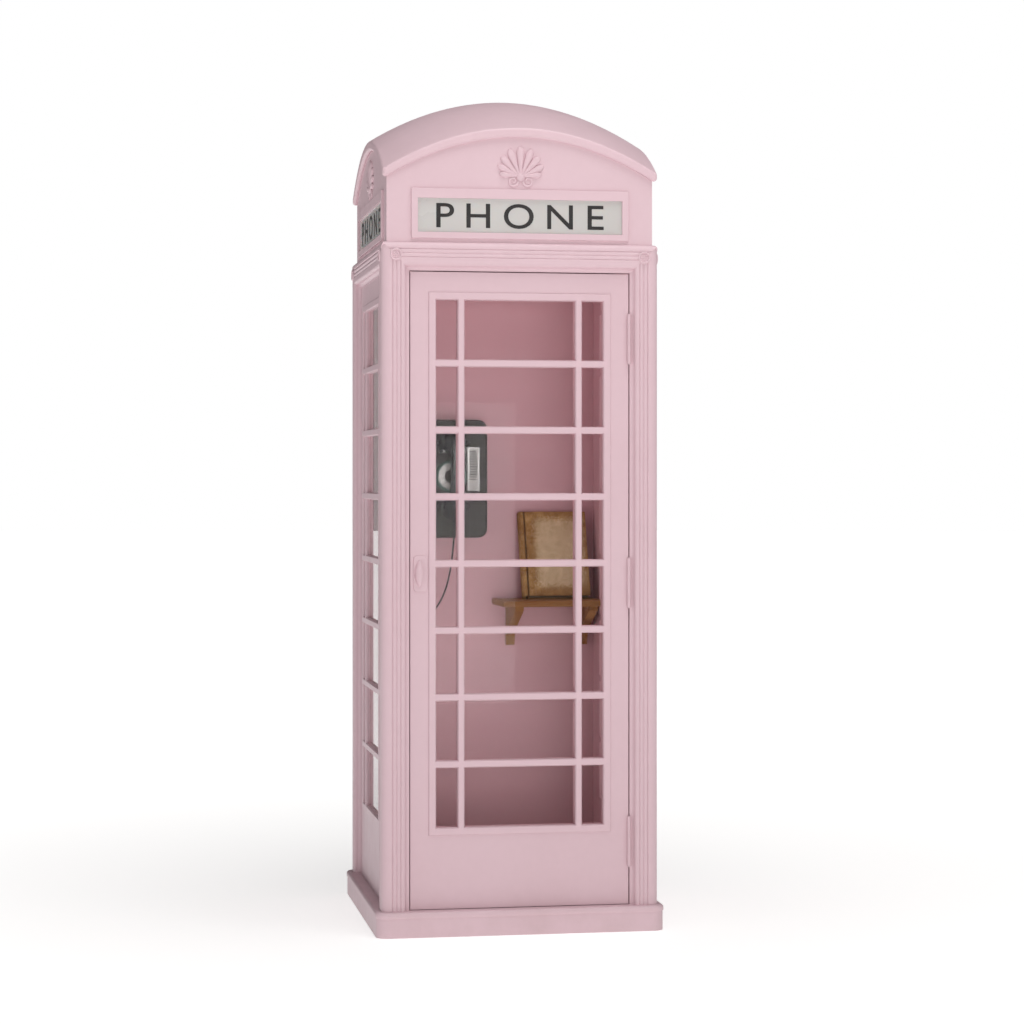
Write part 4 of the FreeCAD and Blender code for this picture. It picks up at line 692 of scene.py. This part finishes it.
# the grip: a section with rounded corners (a cosine and a sine raised to a power) carried up a line, its
# thickness and width growing with the square of the distance from the middle, and bent back at its ends
def gripSurface():
    look = handsetLook
    s = np.linspace(-1, 1, 48)[:, None]
    angle = np.linspace(0, 2 * math.pi, 40, endpoint=False)[None, :]
    z = (look["ear"] + look["mouth"]) / 2 + s * ((look["ear"] - look["mouth"]) / 2 + look["past"])
    thick = look["gripThick"] + look["thicker"] * s ** 2
    wide = look["gripWide"] + look["wider"] * s ** 2
    beyond = np.clip(np.abs(s) - look["bendFrom"], 0, 1)
    forward = look["front"] + thick + look["bend"] * beyond ** 1.3 / (1 - look["bendFrom"]) ** 0.3
    power = look["corner"]
    x = look["x"] + wide * np.sign(np.cos(angle)) * np.abs(np.cos(angle)) ** power
    y = forward + thick * np.sign(np.sin(angle)) * np.abs(np.sin(angle)) ** power
    return cappedTube(np.stack([x, y, z + 0 * angle], axis=-1) * mm)


# the handset: turned cups and ribbed caps at both ends of the grip, small holes in rings in each cap, and a
# sleeve round the cord's end
def makeHandset():
    look = handsetLook
    cup = [(0, -42), (13, -41), (24, -36.5), (32, -29), (36.4, -20), (38, -10), (38, -0.3), (0, -0.3)]
    cap = [(0, 0.2), (38.6, 0.2), (39.6, 1.2), (39.9, 3), (39.9, 7), (39.4, 9), (37.6, 10.8), (34, 11.6),
           (30, 11.4), (27, 10.2), (12, 9.6), (0, 9.5)]
    hole = [(0, -0.3), (1.5, -0.3), (1.5, 0.15), (0, 0.1)]
    cups, caps, holes = [gripSurface()], [], []
    for z in (look["ear"], look["mouth"]):
        centre = (look["x"] * mm, look["seam"] * mm, z * mm)
        cups.append(turnedSurface(np.array(smoothProfile(cup)) * mm, centre, sides=look["sides"]))
        caps.append(turnedSurface(np.array(cap) * mm, centre, sides=look["capSides"], ribs=look["ribs"],
                                  ribDepth=look["ribDepth"] * mm, ribRows=(3, 4)))
        for ring, count in look["holeRings"]:
            for turn in np.linspace(0, 2 * math.pi, count, endpoint=False):
                offset = np.array([ring * math.cos(turn), 9.55 + 0.02 * ring, ring * math.sin(turn)])
                holes.append(turnedSurface(np.array(hole) * mm, np.array(centre) + offset * mm, sides=10))
    sleeve = [(0, 16), (8.5, 16), (7.4, 9), (5.4, 1.5), (4.6, 0.6), (0, 0.6)]
    cups.append(turnedSurface(np.array(sleeve) * mm, cordRoute[0], axis="z", sides=24))
    plastic = finishes["handset_plastic"]
    makePiece("handsetBody", cups, plastic, "handset", ["handset"], smooth=45)
    makePiece("handsetCaps", caps, plastic, "handset", ["handset_caps"], smooth=50)
    makePiece("capHoles", holes, finishes["cord_sheath"], "handset", smooth=30)


# a profile's straight middle rows kept, with its bends rounded by averaging each with its neighbours
def smoothProfile(profile):
    points = np.asarray(profile, float)
    middle = 0.75 * points[1:-3] + 0.25 * points[2:-2]
    other = 0.25 * points[1:-3] + 0.75 * points[2:-2]
    mixed = np.stack([middle, other], axis=1).reshape(-1, 2)
    return np.vstack([points[:1], points[1:2] * [0.5, 1], mixed, points[-2:]])


dialLook = dict(digits="1234567890", digitHeight=0.0062, ink=0.0003, proud=0.00075, ring=32.9, first=90.0,
                step=30.0, hub=21.5, gap=1.2, sides=72)


# the dial: a turned plate behind the finger wheel, digits evenly spaced round it, and a turned hub label
def makeDial():
    wheelLow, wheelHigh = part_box("finger_wheel")
    x, z = (wheelLow.x + wheelHigh.x) / 2, (wheelLow.z + wheelHigh.z) / 2
    radius = (wheelHigh.x - wheelLow.x) / 2 / mm
    well = wheelHigh.y + dialLook["gap"] * mm
    plate = [(0, 0.02), (radius + 0.6, 0.02), (radius + 0.6, -0.5), (radius - 1, -0.62), (0, -0.62)]
    disc = turnedSurface(np.array(plate) * mm, (x, well, z), sides=dialLook["sides"])
    makePiece("numberPlate", [disc], plateWhite, "cabin", smooth=30)
    digits, ring = [], dialLook["ring"] * mm
    for number, digit in enumerate(dialLook["digits"]):
        turn = math.radians(dialLook["first"] + dialLook["step"] * number)
        points, faces = letters(digit, None, dialLook["digitHeight"], dialLook["ink"])
        spot = np.array([x + ring * math.cos(turn), well - dialLook["proud"], z + ring * math.sin(turn)])
        digits.append((points + spot, faces))
    makePiece("dialDigits", digits, inkBlack, "cabin", smooth=30)
    hub = dialLook["hub"]
    label = [(0, 0.05), (hub, 0.05), (hub, -0.5), (hub - 0.8, -0.9), (hub - 2.2, -0.9), (hub - 2.8, -0.45),
             (3.2, -0.4), (3.0, -1.4), (2.0, -1.9), (0, -2.0)]
    disc = turnedSurface(np.array(label) * mm, (x, wheelLow.y, z), sides=dialLook["sides"])
    makePiece("wheelHub", [disc], finishes["case_enamel"], "finger_wheel", smooth=40)


cardLook = dict(rows=12, heavyEvery=3, margin=0.0035, blank=0.22, ink=0.00015, sunk=0.0001,
                dash=(0.0025, 0.0075), gap=(0.0009, 0.0022), rule=0.0006)


# rows of short dashes, broken by a seeded random draw, over the upper part of the card, and an upright rule
def makeCardMarks():
    rng = np.random.default_rng(7)
    low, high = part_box("card")
    left, right = low.x + cardLook["margin"], high.x - cardLook["margin"]
    front, back = low.y - cardLook["ink"], low.y + cardLook["sunk"]
    top = high.z - cardLook["margin"] * 1.6
    bottom = low.z + (high.z - low.z) * cardLook["blank"]
    pitch = (top - bottom) / cardLook["rows"]
    marks = []
    for row in range(cardLook["rows"]):
        z = top - pitch * (row + 0.5)
        tall = pitch * (0.24 if row % cardLook["heavyEvery"] else 0.34)
        x = left
        while x < right - 0.003:
            end = min(x + rng.uniform(*cardLook["dash"]), right)
            marks.append(slab((x, front, z - tall), (end, back, z + tall)))
            x = end + rng.uniform(*cardLook["gap"])
    middle, half = (left + right) / 2, cardLook["rule"]
    marks.append(slab((middle - half, front, bottom + pitch), (middle + half, back, top)))
    makePiece("cardMarks", marks, inkBlack, "cabin", smooth=30)


# turned rubber rests either side of each cup
def makeCaseButtons():
    look = handsetLook
    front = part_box("phone_case")[0].y
    rest = [(0, -6), (6.5, -5.6), (9.2, -4.2), (10.5, -1.6), (11, 0.4), (0, 0.4)]
    surfaces = []
    for z in (look["ear"] - 3, look["mouth"] + 4):
        for hand in (-1, 1):
            centre = ((look["x"] + hand * look["rest"]) * mm, front, z * mm)
            surfaces.append(turnedSurface(np.array(rest) * mm, centre, sides=32))
    makePiece("handsetRests", surfaces, finishes["cord_sheath"], "cabin", smooth=50)


makeHandset()
makeDial()
makeCardMarks()
makeCaseButtons()
print("telephone")


bookLook = dict(lean=20.0, wide=0.218, tall=0.285, thick=0.034, board=0.0028, joint=0.0165, square=0.004,
                groove=0.008, grooveDeep=0.0030, grooveSteps=14, lip=0.0006, spineFrom=0.0062,
                spineRound=0.0060, spineSteps=18, soften=0.0006, ease=0.0008, play=0.0005, pagesFrom=0.0235,
                pagesRound=0.0042, foreHollow=0.0026, steps=8, leaves=16)


# the cover's outline seen from above, as a ribbon: straight boards, a groove by each joint as the square of a
# sine, and a round spine whose place is a sine and a cosine of the share along it
def coverSection():
    look = bookLook
    wide, thick, joint, groove, lip = (look[key] for key in ("wide", "thick", "joint", "groove", "lip"))
    across = np.array([wide, wide - 0.002, *np.linspace(wide * 0.9, joint + 0.007, 7)])
    board = np.stack([across, 0 * across], axis=-1)
    t = np.linspace(0, 1, look["grooveSteps"])
    dip = look["grooveDeep"] * np.sin(math.pi * t) ** 2
    front = np.vstack([board, np.stack([joint + groove / 2 - groove * t, dip], axis=-1)])
    turn = math.pi * np.linspace(0.02, 0.98, look["spineSteps"])
    depth = look["spineFrom"] - look["spineRound"] * np.sin(turn)
    spine = np.stack([depth, lip + (thick - 2 * lip) * (0.5 - 0.5 * np.cos(turn))], axis=-1)
    back = front[::-1] * [1, -1] + [0, thick]
    return np.vstack([front, spine, back])


# the same ribbon moved inwards along its normals by the board's thickness
def insideSection(outer, board):
    along = np.gradient(outer, axis=0)
    along /= np.linalg.norm(along, axis=1, keepdims=True)
    return outer + np.stack([along[:, 1], -along[:, 0]], axis=-1) * -board


# where the book stands: on its back edge at the bottom, leaned back until its top edge meets the wall
def bookPlace():
    low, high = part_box("book_cover")
    lean, look = math.radians(bookLook["lean"]), bookLook
    reach = look["thick"] * math.cos(lean) + look["tall"] * math.sin(lean)
    foot = Matrix.Translation((low.x, high.y - reach, low.z + look["thick"] * math.sin(lean)))
    return foot @ Matrix.Rotation(-lean, 4, "X")


# a surface of the upright book, leaned into its place
def placedByBook(surface):
    points, faces = surface
    turn = np.array(bookPlace())
    return points @ turn[:3, :3].T + turn[:3, 3], faces


# gives a piece of the book a map in metres, from two of its own directions before it is leaned
def mapByBook(piece, first, second):
    back = np.array(bookPlace().inverted())
    mesh = piece.data
    points = np.array([vertex.co for vertex in mesh.vertices], float).reshape(-1, 3)
    own = points @ back[:3, :3].T + back[:3, 3]
    corner = np.empty(len(mesh.loops), np.int32)
    mesh.loops.foreach_get("vertex_index", corner)
    layer = mesh.uv_layers.new(name="map")
    layer.data.foreach_set("uv", own[corner][:, [first, second]].astype(np.float32).ravel())


# the cover: its ribbon's closed outline carried up the book, drawn in a little at both ends, and its edges
# filled between the outer and inner lines
def makeBook():
    look = bookLook
    outer = coverSection()
    inner = insideSection(outer, look["board"])
    loop = np.vstack([outer, inner[::-1]])
    tall, ease = look["tall"], look["ease"]
    heights = np.array([0, ease, *np.linspace(0.02, tall - 0.02, 9), tall - ease, tall])
    inset = np.zeros(len(heights))
    inset[[0, -1]] = look["soften"]
    middle = (outer + inner) / 2
    centre = np.vstack([middle, middle[::-1]])
    ring = loop[None] + (centre - loop)[None] * (inset / (look["board"] / 2))[:, None, None]
    grid = np.concatenate([ring, np.broadcast_to(heights[:, None, None], ring.shape[:2] + (1,))], axis=-1)
    side, faces = gridSurface(grid)
    half, count = len(outer), len(loop)
    near = np.arange(half - 1)
    for start in (0, (len(heights) - 1) * count):
        strip = np.stack([near, near + 1, count - 2 - near, count - 1 - near], axis=-1) + start
        faces += strip.tolist()
    cover = makePiece("bookCover", [placedByBook((side, faces))], finishes["book_cloth"], "book",
                      ["book_cover"], smooth=50)
    mapByBook(cover, 0, 2)
    pages = makePiece("bookPages", [placedByBook(pageBlock())], finishes["book_paper"], "book",
                      ["book_pages"], smooth=50)
    mapByBook(pages, 1, 2)
    makePiece("bookRules", [placedByBook(stamp) for stamp in coverRules()], faintInk, "book",
              smooth=30)


# the page block: a rounded back by the spine and a hollow fore edge, each a sine across the thickness
def pageBlock():
    look = bookLook
    low, high = look["board"] + look["play"], look["thick"] - look["board"] - look["play"]
    t = np.linspace(0, 1, look["leaves"])
    y = low + (high - low) * t
    fore = look["wide"] - look["square"] - look["foreHollow"] * np.sin(math.pi * t)
    spine = look["pagesFrom"] - look["pagesRound"] * np.sin(math.pi * t)
    loop = np.vstack([np.stack([fore, y], axis=-1), np.stack([spine, y], axis=-1)[::-1]])
    rows, count = look["steps"], len(loop)
    heights = np.linspace(look["square"], look["tall"] - look["square"], rows)[:, None, None]
    flat = np.broadcast_to(loop[None], (rows, count, 2))
    grid = np.concatenate([flat, np.broadcast_to(heights, (rows, count, 1))], axis=-1)
    side, faces = gridSurface(grid)
    near = np.arange(look["leaves"] - 1)
    for start in (0, (rows - 1) * count):
        strip = np.stack([near, near + 1, count - 2 - near, count - 1 - near], axis=-1) + start
        faces += strip.tolist()
    return side, faces


stampLook = dict(middle=0.124, share=0.42, sunk=0.0002, proud=0.00012,
                 rows=((0.222, 0.100, 15, 0.0030), (0.204, 0.084, 13, 0.0026), (0.187, 0.030, 5, 0.0026),
                       (0.163, 0.096, 10, 0.0056), (0.141, 0.026, 4, 0.0026)))


# rows of stamped lozenges on the front board, each row a height, a width, a count and a size
def coverRules():
    look, stamps = stampLook, []
    for z, wide, count, size in look["rows"]:
        pitch = wide / count
        half = pitch * look["share"]
        for x in look["middle"] + (np.arange(count) - (count - 1) / 2) * pitch:
            tip = np.array([[x - half, 0, z], [x, 0, z - size], [x + half, 0, z], [x, 0, z + size]])
            stamps.append(cappedTube(np.stack([tip + [0, -look["proud"], 0], tip + [0, look["sunk"], 0]])))
    return stamps


makeBook()
print("book")


# each lamp's place, the height it aims at on the booth's axis, its size, power and colour, and whether it
# shows in glossy reflections
lampLook = dict(
    key=dict(place=(0.5, -8.0, 4.2), aim=1.2, size=2.6, power=36, colour=(1.0, 0.99, 0.98), glossy=True),
    low=dict(place=(0.0, -8.0, 0.5), aim=0.6, size=2.6, power=176, colour=(1.0, 0.99, 0.98), glossy=False),
    fill=dict(place=(-6.0, -2.6, 2.8), aim=1.3, size=4.0, power=36, colour=(0.99, 0.99, 1.0), glossy=True),
    top=dict(place=(0.6, -1.8, 6.2), aim=2.2, size=3.4, power=165, colour=(1.0, 1.0, 1.0), glossy=True))
skyLook = dict(light=0.11, seen=1.0)


def makeLamps():
    for name, look in lampLook.items():
        lamp = bpy.data.lights.new(name, "AREA")
        lamp.size, lamp.energy, lamp.color = look["size"], look["power"], look["colour"]
        holder = bpy.data.objects.new(name, lamp)
        holder.location = look["place"]
        holder.visible_glossy = look["glossy"]
        aim = Vector((0, 0, look["aim"])) - Vector(look["place"])
        holder.rotation_euler = aim.to_track_quat("-Z", "Y").to_euler()
        scene.collection.objects.link(holder)


# a sky that is white where the camera or a pane sees it, and dim as a light
def makeSky():
    world = bpy.data.worlds.new("studio")
    world.use_nodes = True
    scene.world = world
    tree = world.node_tree
    paths = tree.nodes.new("ShaderNodeLightPath")
    strength = tree.nodes.new("ShaderNodeMapRange")
    strength.inputs["To Min"].default_value = skyLook["light"]
    strength.inputs["To Max"].default_value = skyLook["seen"]
    seen = tree.nodes.new("ShaderNodeMath")
    seen.operation = "MAXIMUM"
    tree.links.new(paths.outputs["Is Camera Ray"], seen.inputs[0])
    tree.links.new(paths.outputs["Is Transmission Ray"], seen.inputs[1])
    tree.links.new(seen.outputs[0], strength.inputs["Value"])
    background = tree.nodes["Background"]
    background.inputs["Color"].default_value = (1, 1, 1, 1)
    tree.links.new(strength.outputs["Result"], background.inputs["Strength"])
    scene.view_settings.view_transform = "Standard"


floorLook = dict(rings=(0.0, 0.5, 1.0, 2.0, 4.0, 8.0, 20.0, 60.0), sides=48, colour=(0.58, 0.57, 0.565, 1),
                 glowColour=(1, 0.995, 0.99, 1), glow=(0.66, 1.0), reach=(0.8, 5.0))


# a round floor as a grid of radius and angle, which glows more with the distance from the booth
def makeFloor():
    look = floorLook
    rings = np.array(look["rings"])[:, None]
    angle = np.linspace(0, 2 * math.pi, look["sides"], endpoint=False)[None, :]
    points = np.stack([rings * np.cos(angle), rings * np.sin(angle), 0 * rings * angle], axis=-1)
    vertices, faces = gridSurface(points)
    mesh = bpy.data.meshes.new("studioFloor")
    mesh.from_pydata(vertices.tolist(), [], [face[::-1] for face in faces])
    pale = Finish("floorPale")
    away = pale.add("VectorMath", {"operation": "LENGTH"})
    pale.feed(away.inputs[0], pale.place)
    glow = pale.span(away.outputs["Value"], *look["reach"], *look["glow"])
    pale.set(Base_Color=look["colour"], Roughness=0.8, Specular_IOR_Level=0.1,
             Emission_Color=look["glowColour"], Emission_Strength=glow)
    mesh.materials.append(pale.material)
    floor = bpy.data.objects.new("studioFloor", mesh)
    scene.collection.objects.link(floor)


makeLamps()
makeSky()
makeFloor()
print("light and floor")
